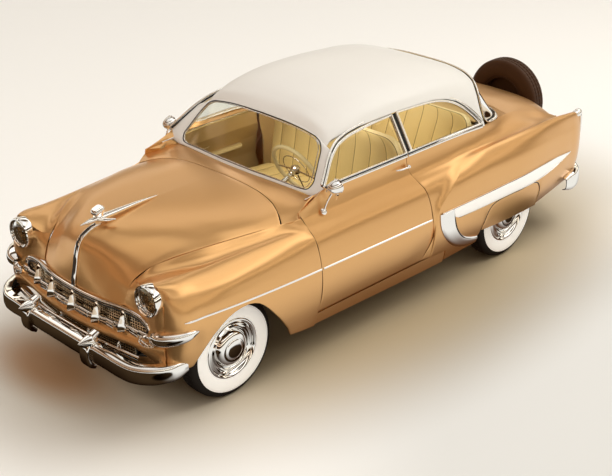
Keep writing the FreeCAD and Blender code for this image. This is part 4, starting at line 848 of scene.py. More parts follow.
# The windshield's glass: rows upwards, middle to side.
WINDSHIELD = (
    ((0, 775, 1178), (180, 780, 1176), (350, 799, 1169), (500, 819, 1160), (592, 834, 1154),
     (662, 872, 1196)),
    ((0, 852, 1282), (182, 856, 1279), (345, 872, 1268), (488, 888, 1254), (585, 902, 1243),
     (646, 922, 1256)),
    ((0, 942, 1388), (181, 945, 1384), (340, 958, 1372), (476, 968, 1354), (562, 974, 1336),
     (618, 980, 1330)),
    ((0, 1041, 1496), (180, 1045, 1491), (330, 1051, 1480), (455, 1057, 1462), (522, 1052, 1449),
     (592, 1025, 1393)),
)
GLASS_THICK = 0.005
glass = Shape().add(*wide_plate(WINDSHIELD, 20, 26, GLASS_THICK, (0, -1, 1)))
piece("windshield_glass", "body", glass, [GLASS], ["windshield"])

# The rear window, from the middle of its foot round to the middle of its head: each pair is a place on the
# chrome's outer edge and one at the glass.
REAR_LOOP = (
    ((0, 3010, 1186), (0, 2992, 1204)),
    ((200, 3004, 1186), (196, 2985, 1204)),
    ((380, 2984, 1184), (370, 2964, 1203)),
    ((560, 2940, 1178), (540, 2920, 1198)),
    ((660, 2900, 1170), (634, 2882, 1192)),
    ((720, 2846, 1166), (694, 2834, 1190)),
    ((758, 2740, 1168), (734, 2742, 1192)),
    ((770, 2642, 1180), (744, 2658, 1204)),
    ((712, 2632, 1300), (694, 2652, 1296)),
    ((648, 2662, 1398), (634, 2682, 1390)),
    ((574, 2702, 1456), (564, 2722, 1444)),
    ((472, 2750, 1482), (464, 2768, 1466)),
    ((338, 2790, 1494), (332, 2806, 1477)),
    ((180, 2810, 1500), (178, 2824, 1482)),
    ((0, 2816, 1500), (0, 2830, 1482)),
)
REAR_SLOPE = (0, 0.75, 0.65)
outer, inner = edges_of(REAR_LOOP, 110)
middle = outer * 0.5 + inner * 0.5 + (0, 0.006, 0.006)
back_frame = Shape().add(*sweep(middle, oval(0.022, 0.012, 12), REAR_SLOPE, loop=True))
piece("rear_window_frame", "body", back_frame, [CHROME])
back_seal = Shape().add(*sweep(inner, oval(0.010, 0.010, 8), REAR_SLOPE, loop=True))
piece("rear_window_seal", "body", back_seal, [GROOVE])
# The rear window's glass: rows upwards, middle to side.
REAR_GLASS = (
    ((0, 2992, 1202), (196, 2985, 1202), (370, 2964, 1201), (540, 2920, 1196), (640, 2878, 1190),
     (704, 2808, 1188), (742, 2662, 1200)),
    ((0, 2950, 1300), (192, 2943, 1300), (360, 2920, 1296), (516, 2874, 1288), (612, 2826, 1272),
     (676, 2752, 1256), (720, 2650, 1254)),
    ((0, 2896, 1396), (186, 2890, 1394), (346, 2868, 1388), (490, 2824, 1376), (584, 2776, 1356),
     (640, 2716, 1338), (686, 2654, 1310)),
    ((0, 2832, 1480), (178, 2826, 1480), (332, 2808, 1475), (464, 2770, 1464), (550, 2728, 1446),
     (602, 2700, 1420), (636, 2680, 1388)),
)
back_glass = Shape().add(*wide_plate(REAR_GLASS, 16, 24, GLASS_THICK, (0, 1, 1)))
piece("rear_window_glass", "body", back_glass, [GLASS], ["rear_window"])

# The side windows lie on a slanted plane, which is 780 across at 1206 up and leans 0.61 inwards a rise of 1.
SLANT = (0.854, 0, 0.52)
SILL_ACROSS, SILL_UP, LEAN = 780, 1206, 0.61


def leaning(points, proud):
    """Stations and heights as places on the side windows' slanted plane, a little proud of it."""
    result = []
    for station, up in points:
        across = SILL_ACROSS - LEAN * (up - SILL_UP)
        result.append((across + proud * SLANT[0], station, up + proud * SLANT[2]))
    return result


def upright(station, heights):
    """Places up a window post."""
    return [(station, up) for up in heights]


# Both openings' outlines run over the top from the front corner to the rear corner: station, up.
DOOR_GLASS = (
    (852, 1212), (905, 1258), (985, 1330), (1040, 1371), (1100, 1404), (1200, 1432), (1350, 1449),
    (1500, 1459), (1700, 1466)
)
QUARTER_GLASS = (
    (1752, 1467), (1850, 1465), (2000, 1460), (2150, 1450), (2260, 1430), (2350, 1396), (2420, 1352),
    (2480, 1298), (2530, 1238), (2546, 1212)
)
rail = DOOR_GLASS[:-1] + QUARTER_GLASS[1:]


def shifted(points, amount):
    """An open outline moved outwards, away from the window's middle."""
    places = np.array(points, float)
    along = np.gradient(places, axis=0)
    outward = np.stack([-along[:, 1], along[:, 0]], axis=1)
    outward /= np.linalg.norm(outward, axis=1, keepdims=True)
    return places + outward * amount


def moulding(points, proud, count, section):
    """A bar along an outline of a side window."""
    return sweep(line(leaning(points, proud), count), section, SLANT)


drip = Shape().both(*moulding(shifted(rail, 24), 14, 90, rounded(0.016, 0.012, 0.005, 3)))
piece("drip_rails", "body", drip, [CHROME])
channel = Shape().both(*moulding(shifted(rail, 13), 4, 90, rounded(0.010, 0.010, 0.002, 2)))
piece("drip_channels", "body", channel, [GROOVE])

HEAD_SECTION = rounded(0.020, 0.022, 0.006, 3)
SILL_SECTION = rounded(0.016, 0.022, 0.006, 3)
SILL_LINE = 1209
quarter_frame = Shape()
quarter_sill = [(station, SILL_LINE) for station in (1752, 2000, 2300, 2552)]
quarter_frame.both(*moulding(QUARTER_GLASS, 4, 70, HEAD_SECTION))
quarter_frame.both(*moulding(upright(1748, (1207, 1290, 1380, 1468)), 4, 10, rounded(0.026, 0.022, 0.005, 3)))
quarter_frame.both(*moulding(quarter_sill, 4, 24, SILL_SECTION))
piece("quarter_window_frames", "body", quarter_frame, [CHROME])
post = Shape()
post.both(*moulding(upright(1722, (1210, 1290, 1380, 1466)), -2, 10, rounded(0.030, 0.010, 0.002, 2)))
piece("post_seals", "body", post, [GROOVE])

sash_head = shifted(DOOR_GLASS[:-1] + ((1690, 1465),), -2)
sash_sill = [(station, SILL_LINE) for station in (868, 1100, 1400, 1690)]
for side, body in SIDES:
    sash = Shape()
    for part in (
            moulding(sash_head, 4, 70, HEAD_SECTION),
            moulding(upright(1692, (1206, 1290, 1380, 1463)), 4, 10, rounded(0.024, 0.022, 0.005, 3)),
            moulding(sash_sill, 4, 24, SILL_SECTION)):
        sash.add(*one_side(*part, side))
    piece("window_sash_" + body, "door_" + body, sash, [CHROME])

# The belt strip on the doors and on the quarter panels: a bright bar, a dark groove over it, a bright edge.
DOOR_BELT = ((786, 866, 1200), (786, 1100, 1200), (786, 1400, 1200), (786, 1694, 1200))
QUARTER_BELT = ((786, 1706, 1200), (784, 1950, 1199), (781, 2200, 1197), (777, 2400, 1190), (771, 2580, 1180))
# Columns: shift from the path, section, finish.
BELT_BARS = (
    ((0.004, 0, 0), rounded(0.020, 0.012, 0.005, 3), 0),
    ((0.003, 0, 0.015), rounded(0.010, 0.012, 0.002, 2), 1),
    ((0.000, 0, 0.024), rounded(0.010, 0.012, 0.003, 2), 0),
)
for name, body, path, sides in (
        ("door_belt_door_left", "door_left", DOOR_BELT, (1,)),
        ("door_belt_door_right", "door_right", DOOR_BELT, (-1,)),
        ("quarter_belt_body", "body", QUARTER_BELT, (1, -1))):
    strip = Shape()
    for shift, section, finish in BELT_BARS:
        for side in sides:
            strip.add(*one_side(*sweep(line(path, 40) + shift, section, (1, 0, 0.25)), side), finish)
    piece(name, body, strip, [CHROME, GROOVE])


def refinish(name, material):
    """Gives a construction node its finish."""
    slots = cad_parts[name].data.materials
    slots.clear()
    slots.append(material)


for name in ("door_window_left", "door_window_right", "quarter_windows"):
    refinish(name, GLASS)


# ---------------------------------------------------------------- side trim
# A strip's section, for a width and a height of 1.
STRIP_SECTION = np.array((
    (-0.5, 0), (-0.46, 0.55), (-0.3, 0.9), (0, 1), (0.3, 0.9), (0.46, 0.55), (0.5, 0), (0.4, -0.5),
    (-0.4, -0.5)))


def strip_on(grid, path, width, proud, count, narrow=None):
    """A bright strip lying on a panel, along stations and heights. narrow is (shares, widths) along it."""
    places = line([(0, station, up) for station, up in path], count)
    places, normals = nearest_on(grid, places)
    scale = np.ones((len(places), 2))
    if narrow is not None:
        scale[:, 0] = taper(places, *narrow)
    return sweep(places, STRIP_SECTION * (width, proud), normals, scale)


def patch_on(grid, top, low, count, proud, crown, over=10):
    """A bright plate lying on a panel, between a top line and a low line of stations and heights."""
    top = resampled([(0, station, up) for station, up in top], count)
    low = resampled([(0, station, up) for station, up in low], count)
    shares = np.linspace(0, 1, over)
    flat = metres(top[:, None, :] + (low - top)[:, None, :] * shares[None, :, None])
    places, normals = nearest_on(grid, flat.reshape(-1, 3))
    rise = proud + crown * (1 - (2 * np.tile(shares, len(top)) - 1) ** 4)
    places = places + normals * rise[:, None]
    return plate(places.reshape(len(top), over, 3), proud + 0.003, LEFT)


# The thin spear along the fender and the door: station, up.
FENDER_SPEAR = ((-470, 768), (-200, 762), (100, 752), (400, 744), (664, 738))
DOOR_SPEAR = ((682, 737), (1100, 730), (1500, 724), (1802, 719))
SPEAR_WIDE, SPEAR_HIGH = 0.016, 0.009
spear_tip = ((0, 0.03, 1), (0.45, 1, 1))
spears = Shape().both(*strip_on(fender_grid, FENDER_SPEAR, SPEAR_WIDE, SPEAR_HIGH, 70, spear_tip))
piece("fender_spears", "body", spears, [CHROME])

HANDLE = ((806, 1560, 1132), (822, 1585, 1134), (826, 1640, 1133), (822, 1672, 1132), (808, 1680, 1130))
HANDLE_SIZES = ((0, 0.15, 0.7, 0.85, 1), (0.6, 0.9, 1, 1.5, 1))
KNOB = ((0.0005, 0.022), (0.010, 0.021), (0.015, 0.014), (0.016, 0.004), (0.013, 0), (0.0005, 0))
for side, body in SIDES:
    handle = line(HANDLE, 30)
    spear = Shape()
    for part in (
            strip_on(door_grid, DOOR_SPEAR, SPEAR_WIDE, SPEAR_HIGH, 50),
            sweep(handle, oval(0.017, 0.014, 12), ABOVE, taper(handle, *HANDLE_SIZES)),
            turned(KNOB, metres((806, 1684, 1128)), (1, 0, 0.15), 24)):
        spear.add(*one_side(*part, side))
    piece("door_spear_and_handle_" + body, "door_" + body, spear, [CHROME])

# The broad rear spear, its bright edges, and the stone shield at the rear fender's foot: station, up.
SPEAR_TOP = (
    (1905, 742), (2100, 744), (2500, 746), (2900, 747), (3200, 745), (3400, 738), (3560, 722),
    (3640, 712)
)
SPEAR_LOW = (
    (2085, 655), (2250, 650), (2500, 647), (2800, 644), (3050, 640), (3260, 648), (3450, 672),
    (3640, 710)
)
SHIELD_OUTER = (
    (1880, 738), (1882, 690), (1894, 634), (1924, 574), (1974, 508), (2040, 446), (2130, 386),
    (2250, 338), (2400, 316)
)
SHIELD_INNER = (
    (2040, 740), (2048, 690), (2062, 632), (2084, 580), (2120, 528), (2188, 466), (2286, 418),
    (2400, 384)
)
rear_trim = Shape().both(*patch_on(quarter_grid, SPEAR_TOP, SPEAR_LOW, 60, 0.004, 0.003))
piece("rear_spears", "body", rear_trim, [WHITE])
edges = Shape()
for path in (SPEAR_TOP, SPEAR_LOW):
    edges.both(*strip_on(quarter_grid, path, 0.008, 0.009, 60))
edges.both(*patch_on(quarter_grid, SHIELD_OUTER, SHIELD_INNER, 50, 0.006, 0.012, 14))
piece("stone_shields", "body", edges, [CHROME])
# The rubber welt between each skirt and its fender: station, up.
WELT = (
    (2423, 410), (2436, 500), (2462, 572), (2500, 611), (2550, 629), (2620, 637), (2850, 633),
    (3090, 623), (3136, 600), (3166, 556), (3179, 500), (3183, 400)
)
welts = Shape().both(*strip_on(quarter_grid, WELT, 0.007, 0.002, 110))
piece("skirt_welts", "body", welts, [GROOVE])

# ---------------------------------------------------------------- the grille
# Sections up a tooth: height from -1 at its foot to 1, then its width and depth as shares of the whole.
TOOTH_SECTIONS = (
    (-1, 0.3, 0.3), (-0.78, 0.9, 0.95), (-0.55, 1, 1), (-0.1, 0.72, 0.8), (0.4, 0.46, 0.55),
    (0.85, 0.3, 0.3), (1, 0.2, 0.1)
)


def teeth(shape, places, high, deep, wide):
    """Adds upright pointed blades, each with a sharp front edge."""
    for across, station, up in places:
        profile = []
        for share, thin, forward in TOOTH_SECTIONS:
            half = wide / 2 * thin
            height = up + share * high / 2
            front = station - deep * forward
            flank = station - deep * forward * 0.45
            profile.append((
                (across - half, station, height), (across - half, flank, height), (across, front, height),
                (across + half, flank, height), (across + half, station, height)))
        rows = metres(profile)
        shape.add(rows.reshape(-1, 3), tube_faces(*rows.shape[:2]))


# The chrome moulding over the upper opening, and the dark strip under it.
TOP_LINE = (
    (0, -642, 741), (130, -639, 742), (300, -620, 743), (430, -588, 741), (530, -570, 733),
    (600, -561, 716), (640, -557, 692), (658, -556, 660)
)
top_line = whole_line(TOP_LINE, 60)
top_bar = Shape().add(*sweep(top_line, rounded(0.030, 0.026, 0.011, 4), (0, -1, 0.15)))
piece("grille_moulding", "body", top_bar, [CHROME])
under_line = top_line * (0.985, 1, 1) + (0, 0.004, -0.024)
under = Shape().add(*sweep(under_line, rounded(0.012, 0.020, 0.004, 2), (0, -1, 0.15)))
piece("grille_shadow_strip", "body", under, [BLACK])

# The grille's bar, its teeth, and square bosses on the bar between the teeth.
BAR_LINE = (
    (0, -644, 612), (130, -641, 613), (300, -622, 614), (430, -594, 616), (560, -570, 618),
    (664, -566, 620)
)
bar = Shape().add(*sweep(whole_line(BAR_LINE, 40), rounded(0.046, 0.040, 0.010, 4), AHEAD))
TEETH = ((0, -640, 658), (240, -628, 659), (455, -584, 660), (-240, -628, 659), (-455, -584, 660))
teeth(bar, TEETH, 160, 64, 62)
BOSSES = ((120, -640), (350, -612), (550, -573), (-120, -640), (-350, -612), (-550, -573))
for across, station in BOSSES:
    boss = metres([(across - 44, station, 614), (across + 44, station, 614)])
    bar.add(*sweep(boss, rounded(0.056, 0.050, 0.010, 3), AHEAD))
piece("grille_bar", "body", bar, [CHROME], ["grille"])

BAR_PITCH, CROSS_PITCH = 20, 19


def screen(name, half_width, station, low, high, bend):
    """A pierced screen of thin bars behind an opening, with a black sheet behind it as painted shade for the
    opening's dark inside.
    """
    def back(across):
        return station + bend * (across / half_width) ** 2

    shape = Shape()
    for number in range(half_width * 2 // BAR_PITCH):
        across = -half_width + BAR_PITCH / 2 + number * BAR_PITCH
        ends = metres(((across, back(across), low), (across, back(across), high)))
        shape.add(*sweep(ends, rounded(0.008, 0.006, 0.001, 1), AHEAD))
    spread = np.linspace(-half_width, half_width, 13)
    for up in np.arange(low + 9, high, CROSS_PITCH):
        path = metres([(across, back(across), up) for across in spread])
        shape.add(*sweep(path, rounded(0.007, 0.006, 0.001, 1), AHEAD))
    # The black sheet is painted shade: it stands in for the dark space behind the opening.
    sheet = [[(across, back(across) + 8, up) for up in (low, high)] for across in spread]
    shape.add(*plate(metres(sheet), 0.004, AHEAD), 1)
    piece(name, "body", shape, [MESH, BLACK])


screen("grille_screen", 646, -606, 584, 730, 72)
screen("lower_screen", 520, -604, 412, 500, 44)

# The swept body-colour panel between the openings, then the valance: rows downwards, middle to side.
NOSE = (
    ((0, -634, 590), (200, -626, 590), (400, -600, 592), (560, -578, 594), (680, -570, 600),
     (760, -572, 604), (808, -562, 606)),
    ((0, -654, 570), (200, -646, 570), (400, -622, 572), (560, -602, 576), (680, -590, 580),
     (760, -586, 586), (818, -570, 588)),
    ((0, -668, 540), (200, -660, 541), (400, -638, 546), (560, -616, 552), (680, -602, 556),
     (760, -592, 560), (822, -574, 560)),
    ((0, -662, 512), (200, -655, 514), (400, -636, 524), (560, -614, 530), (680, -600, 524),
     (760, -588, 518), (820, -572, 520)),
    ((0, -636, 502), (200, -632, 503), (400, -616, 510), (560, -598, 506), (680, -586, 482),
     (760, -578, 462), (802, -566, 450)),
)
VALANCE = (
    ((0, -612, 412), (260, -606, 412), (480, -592, 416), (560, -586, 440), (640, -584, 470),
     (760, -574, 470)),
    ((0, -606, 392), (260, -600, 392), (480, -586, 394), (560, -580, 404), (640, -578, 418),
     (780, -564, 424)),
    ((0, -590, 372), (260, -586, 372), (480, -574, 374), (560, -568, 378), (640, -566, 384),
     (780, -556, 404)),
)
nose = Shape()
nose.add(*wide_plate(NOSE, 28, 70, THIN_PANEL, AHEAD))
nose.add(*wide_plate(VALANCE, 8, 50, THIN_PANEL, AHEAD))
piece("nose_skin", "body", nose, [PAINT], ["nose_panel"])

# Small teeth and a rail over the bumper, in the lower opening.
lower = Shape()
teeth(lower, [(across, -650 + abs(across) * 0.05, 478) for across in (-440, -150, 150, 440)], 80, 40, 34)
RAIL_LINE = (
    (0, -706, 504), (160, -705, 504), (290, -700, 503), (420, -684, 500), (540, -660, 492),
    (640, -632, 480)
)
lower.add(*sweep(whole_line(RAIL_LINE, 40), rounded(0.030, 0.024, 0.010, 3), (0, -1, 0.3)))
piece("lower_teeth", "body", lower, [CHROME], ["lower_grille"])

# The chrome wings round the fenders' corners, above the bumper: front to back, top to bottom.
WING = (
    ((722, -588, 676), (736, -616, 664), (738, -620, 630), (722, -592, 606)),
    ((762, -574, 694), (786, -616, 682), (788, -622, 634), (762, -578, 600)),
    ((806, -556, 704), (838, -596, 690), (840, -600, 636), (806, -558, 600)),
    ((840, -530, 710), (880, -558, 696), (882, -560, 642), (840, -532, 604)),
    ((868, -490, 714), (914, -506, 700), (916, -506, 650), (868, -490, 612)),
    ((892, -438, 715), (934, -448, 703), (934, -448, 662), (890, -438, 630)),
    ((908, -392, 706), (934, -396, 698), (934, -396, 680), (908, -392, 664)),
    ((914, -376, 696), (930, -378, 692), (930, -378, 684), (914, -376, 680)),
)
wings = Shape().both(*plate(skin(WING, 44, 16), PANEL, (1, -1, 0)))
piece("corner_wings", "body", wings, [CHROME])

# ---------------------------------------------------------------- bumpers
# The bar's section: outwards, upwards, in metres. The bars' middle lines, from the middle to an end.
BUMPER_SECTION = (
    (-0.006, 0.086), (0.026, 0.085), (0.043, 0.079), (0.051, 0.066), (0.054, 0.044), (0.055, 0.010),
    (0.055, -0.030), (0.050, -0.056), (0.038, -0.074), (0.016, -0.086), (-0.006, -0.088),
    (-0.010, -0.080), (0.010, -0.076), (0.028, -0.066), (0.040, -0.048), (0.045, -0.020), (0.045, 0.030),
    (0.040, 0.060), (0.024, 0.074), (-0.008, 0.076)
)
FRONT_LINE = (
    (0, -750, 463), (200, -750, 463), (370, -746, 461), (480, -738, 454), (580, -722, 436),
    (670, -698, 424), (750, -648, 423), (808, -575, 427), (834, -505, 432), (846, -432, 437)
)
REAR_LINE = (
    (0, 4074, 414), (200, 4072, 414), (400, 4058, 414), (540, 4026, 414), (660, 3976, 414),
    (750, 3916, 415), (814, 3846, 417), (848, 3770, 418), (862, 3700, 418), (870, 3630, 416)
)


def bumper(path, sign, tall):
    """A bumper bar from end to end, lower and thinner at its ends. tall scales its height."""
    whole = whole_line(path, 80)
    along = np.abs(np.linspace(-1, 1, len(whole)))
    deep = np.interp(along, (0, 0.9, 1), (1, 1, 0.6))
    high = np.interp(along, (0, 0.8, 0.93, 1), (tall, tall, 0.93 * tall, 0.6 * tall))
    section = [(sign * out, rise) for out, rise in BUMPER_SECTION]
    return sweep(whole, section, ABOVE, np.stack([deep, high], axis=1))


# A bullet's outline: share of its length, share of its radius.
BULLET = (
    (0.94, 0.12), (0.82, 0.32), (0.66, 0.56), (0.5, 0.76), (0.34, 0.92), (0.2, 1.0), (0.08, 0.98), (0, 0.86))


def bullet(place, direction, length, radius, flutes):
    """A bullet-shaped guard: a fluted pointed body of revolution."""
    profile = [(0.0008, length)]
    profile += [(radius * size, length * share) for share, size in BULLET]
    profile.append((0.0008, 0))

    def fluted(angle, size, along):
        return -0.05 * size * np.cos(flutes * angle) * np.clip(along / length, 0, 1)

    return turned(profile, metres(place), direction, 48, fluted)


def guard(across, places, count, section, direction, sizes):
    """A guard's upright body, along stations and heights, across from the middle."""
    path = line([(across, station, up) for station, up in places], count)
    return sweep(path, section, direction, taper(path, (0, 0.2, 0.7, 1), sizes))


FRONT_GUARD = ((-758, 350), (-794, 378), (-812, 430), (-804, 500), (-768, 552), (-712, 578))
REAR_GUARD = ((4104, 330), (4120, 390), (4118, 450), (4096, 520), (4058, 552))
front_bar = Shape().add(*bumper(FRONT_LINE, 1, 0.78))
for side in (1, -1):
    front_bar.add(*bullet((side * 325, -738, 520), (0, -0.93, 0.18), 0.125, 0.052, 8))
    front_bar.add(*guard(side * 325, FRONT_GUARD, 24, rounded(0.088, 0.034, 0.014, 4), AHEAD,
                         (0.75, 1.05, 0.9, 0.7)))
piece("front_bumper_bar", "body", front_bar, [CHROME], ["front_bumper"], sharp=50)
rear_bar = Shape().add(*bumper(REAR_LINE, -1, 1.0))
for side in (1, -1):
    rear_bar.add(*guard(side * 400, REAR_GUARD, 22, rounded(0.080, 0.034, 0.014, 4), BACKWARD,
                        (0.75, 1.05, 0.9, 0.6)))
piece("rear_bumper_bar", "body", rear_bar, [CHROME], ["rear_bumper"], sharp=50)

# ---------------------------------------------------------------- hood strip and ornament
# Along the middle of the hood: station, up.
STRIP_LINE = ((-636, 740), (-634, 790), (-622, 840), (-610, 895), (-599, 950), (-588, 990), (-572, 1030),
              (-548, 1062), (-510, 1086), (-455, 1108), (-400, 1117))
JET = ((-546, 1146), (-500, 1148), (-440, 1150), (-380, 1151), (-300, 1153), (-180, 1157), (-60, 1160),
       (76, 1158))
STRIP_FOOT = ((0.0005, 0.012), (0.016, 0.010), (0.022, 0.002), (0.020, -0.006), (0.0005, -0.008))
JET_WIDTHS = (0.05, 0.7, 1, 0.8, 0.1)
JET_HEIGHTS = (0.15, 0.8, 1, 0.8, 0.3)
HEAD_SIZES = (0.7, 0.7, 0.75, 0.85, 1.05, 1.2, 1.2, 1.1, 0.8)


def middle_line(places, count):
    """A smooth line in the car's middle plane."""
    return line([(0, station, up) for station, up in places], count)


strip = Shape()
strip_path = middle_line(STRIP_LINE, 60)
strip.add(*sweep(strip_path, rounded(0.040, 0.016, 0.007, 3), (0, -1, 0.6)))
strip.add(*sweep(strip_path + (0, -0.0045, 0.0025), rounded(0.014, 0.012, 0.003, 2), (0, -1, 0.6)), 1)
strip.add(*turned(STRIP_FOOT, metres((0, -640, 744)), (0, -1, 0.2), 24))
# The jet: a long body with a pointed front, a post under it, a small head and two short wings.
jet_path = middle_line(JET, 50)
jet_stops = (0, 0.12, 0.28, 0.5, 1)
jet_scale = np.stack([taper(jet_path, jet_stops, sizes) for sizes in (JET_WIDTHS, JET_HEIGHTS)], axis=1)
strip.add(*sweep(jet_path, rounded(0.052, 0.034, 0.015, 4), ABOVE, jet_scale))
strip.add(*sweep(middle_line(((-400, 1118), (-410, 1150)), 4), rounded(0.026, 0.070, 0.012, 3), BACKWARD))
head_path = middle_line(((-392, 1152), (-400, 1190), (-412, 1228)), 8)
strip.add(*sweep(head_path, rounded(0.058, 0.076, 0.020, 3), BACKWARD, HEAD_SIZES))
for side in (1, -1):
    wing_path = line(((side * 10, -405, 1152), (side * 50, -380, 1150), (side * 84, -330, 1150)), 12)
    strip.add(*sweep(wing_path, rounded(0.060, 0.008, 0.0035, 3), ABOVE, taper(wing_path, (0, 1), (1, 0.25))))
piece("hood_ornament", "hood", strip, [CHROME, BLACK])


# ---------------------------------------------------------------- lamps and mirrors
# The profiles of turned parts are (radius, place along the axis), in metres.
RING_PROFILE = (
    (0.088, 0.012), (0.091, 0.002), (0.096, -0.001), (0.103, 0.001), (0.107, 0.008), (0.108, 0.014),
    (0.108, 0.055), (0.105, 0.066), (0.098, 0.066), (0.090, 0.060))
BOWL_PROFILE = (
    (0.0008, 0.078), (0.030, 0.074), (0.058, 0.060), (0.078, 0.040), (0.090, 0.022), (0.094, 0.022),
    (0.082, 0.044), (0.060, 0.066), (0.030, 0.080), (0.0008, 0.084))
BULB_PROFILE = ((0.0008, 0.034), (0.008, 0.036), (0.012, 0.046), (0.010, 0.072), (0.0008, 0.074))
LENS_PROFILE = (
    (0.0008, -0.004), (0.030, -0.002), (0.060, 0.003), (0.080, 0.009), (0.090, 0.014), (0.088, 0.018),
    (0.078, 0.014), (0.058, 0.008), (0.030, 0.003), (0.0008, 0.001))
FLUTED_RADIUS, FLUTE_PITCH, FLUTE_SHARE = 0.086, 0.0135, 0.96
LENS_BULGE, BULGE_AT = 0.010, 0.0077


def flute(centre, fixed, upright, behind, section):
    """A flute moulded into a headlamp's lens, upright or level, following the lens's curve."""
    half = math.sqrt(FLUTED_RADIUS ** 2 - fixed ** 2) * FLUTE_SHARE
    path = []
    for moving in np.linspace(-half, half, 9):
        across, rise = (fixed, moving) if upright else (moving, fixed)
        path.append(centre + (across, behind + LENS_BULGE * ((across ** 2 + rise ** 2) / BULGE_AT), rise))
    return sweep(path, section, AHEAD)


lamp_rims = Shape()
lamp_glass = Shape()
for side in (1, -1):
    centre = metres((side * 680, -590, 877))
    lamp_rims.add(*turned(RING_PROFILE, centre, BACKWARD, 72))
    lamp_rims.add(*turned(BOWL_PROFILE, centre, BACKWARD, 48), 1)
    lamp_rims.add(*turned(BULB_PROFILE, centre, BACKWARD, 20))
    lamp_glass.add(*turned(LENS_PROFILE, centre, BACKWARD, 64))
    for number in range(-6, 7):
        lamp_glass.add(*flute(centre, number * FLUTE_PITCH, True, 0.004, oval(0.006, 0.005, 8)), 1)
    for rise in (-0.045, -0.015, 0.015, 0.045):
        lamp_glass.add(*flute(centre, rise, False, 0.003, oval(0.005, 0.004, 6)), 1)
piece("headlamp_rims", "body", lamp_rims, [CHROME, LAMP_BOWL], ["headlamps"])
piece("headlamp_lenses", "body", lamp_glass, [LENS, LAMP_RIB])

# Parking lamps at the ends of the grille bar: a chrome oval and a fluted glass.
PARK_RIM = ((0.044, 0.022), (0.050, 0.012), (0.050, -0.004), (0.044, -0.012), (0.038, -0.006), (0.038, 0.010))
PARK_DOME = (
    (0.0006, -0.006), (0.038, -0.004), (0.040, 0.002), (0.032, 0.009), (0.018, 0.013), (0.0006, 0.014))
PARK_SHAPE = (1.35, 1, 0.82)


def fine_flutes(angle, size, along):
    """Fine flutes all round a parking lamp's glass."""
    return 0.02 * size * np.cos(18 * angle)


park = Shape()
park_glass = Shape()
for side in (1, -1):
    place = metres((side * 700, -602, 620))
    outward = (side * 0.45, -0.89, 0)
    for shape, profile, spoke in ((park, PARK_RIM, None), (park_glass, PARK_DOME, fine_flutes)):
        points, faces = turned(profile, (0, 0, 0), outward, 40, spoke)
        shape.add(points * PARK_SHAPE + place, faces)
piece("parking_lamp_rims", "body", park, [CHROME], ["parking_lamps"])
piece("parking_lamp_glass", "body", park_glass, [LENS])

# Tail lamps: an upright chrome bezel at the end of each rear fender, with a dark red glass and a round cap.
BEZEL_LINE = ((790, 3888, 962), (796, 3892, 900), (800, 3888, 820), (802, 3876, 726))
CAP_PROFILE = (
    (0.0006, 0.024), (0.018, 0.020), (0.030, 0.006), (0.034, -0.012), (0.032, -0.060), (0.014, -0.120),
    (0.0006, -0.130))
tails = Shape()
tail_glass = Shape()
for side in (1, -1):
    spine = line([(side * across, station, up) for across, station, up in BEZEL_LINE], 24)
    lit = spine[2:-3] + (0, 0.007, 0)
    tails.add(*sweep(spine, rounded(0.056, 0.022, 0.010, 4), BACKWARD,
                     taper(spine, (0, 0.12, 0.6, 1), (0.8, 1.05, 1, 0.45))))
    tail_glass.add(*sweep(lit, rounded(0.034, 0.022, 0.010, 4), BACKWARD,
                          taper(lit, (0, 0.1, 0.7, 1), (0.6, 1.0, 0.95, 0.4))))
    tails.add(*turned(CAP_PROFILE, metres((side * 790, 3888, 962)), (0, 1, 0.12), 28))
piece("tail_lamp_bezels", "body", tails, [CHROME], ["tail_lamps"])
piece("tail_lamp_glass", "body", tail_glass, [RED])

# The spot mirrors on the doors: head, glass ring, stalk, foot, arm and grip.
MIRROR_HEAD = (
    (0.0008, -0.062), (0.014, -0.058), (0.032, -0.042), (0.045, -0.016), (0.050, 0.010), (0.050, 0.022),
    (0.046, 0.026), (0.043, 0.022), (0.0008, 0.020))
MIRROR_RING = ((0.044, 0.020), (0.050, 0.018), (0.054, 0.024), (0.052, 0.032), (0.044, 0.030))
MIRROR_STALK = ((828, 812, 1078), (832, 828, 1120), (840, 852, 1166), (848, 876, 1198))
MIRROR_FOOT = ((0.0006, 0.014), (0.012, 0.013), (0.022, 0.006), (0.026, 0.0), (0.0006, -0.004))
MIRROR_ARM = ((846, 884, 1206), (822, 872, 1196), (800, 866, 1190))
MIRROR_GRIP = (
    (0.0006, -0.050), (0.007, -0.048), (0.009, -0.010), (0.014, 0.0), (0.009, 0.006), (0.0006, 0.006))
MIRROR_AT = metres((852, 888, 1226))
MIRROR_AXIS = (0.1, 1, 0.05)
for side, body in SIDES:
    mirror = Shape()
    for part in (
            turned(MIRROR_HEAD, MIRROR_AT, MIRROR_AXIS, 40),
            turned(MIRROR_RING, MIRROR_AT, MIRROR_AXIS, 40),
            sweep(line(MIRROR_STALK, 14), oval(0.013, 0.013, 10), (1, 0, 0)),
            turned(MIRROR_FOOT, metres((826, 812, 1072)), (0.75, 0, 0.66), 28),
            sweep(line(MIRROR_ARM, 10), oval(0.018, 0.018, 10), ABOVE),
            turned(MIRROR_GRIP, metres((862, 900, 1176)), (0.35, -0.2, 0.9), 20)):
        mirror.add(*one_side(*part, side))
    piece("spot_mirror_" + body, "door_" + body, mirror, [CHROME], ["mirror_" + body])

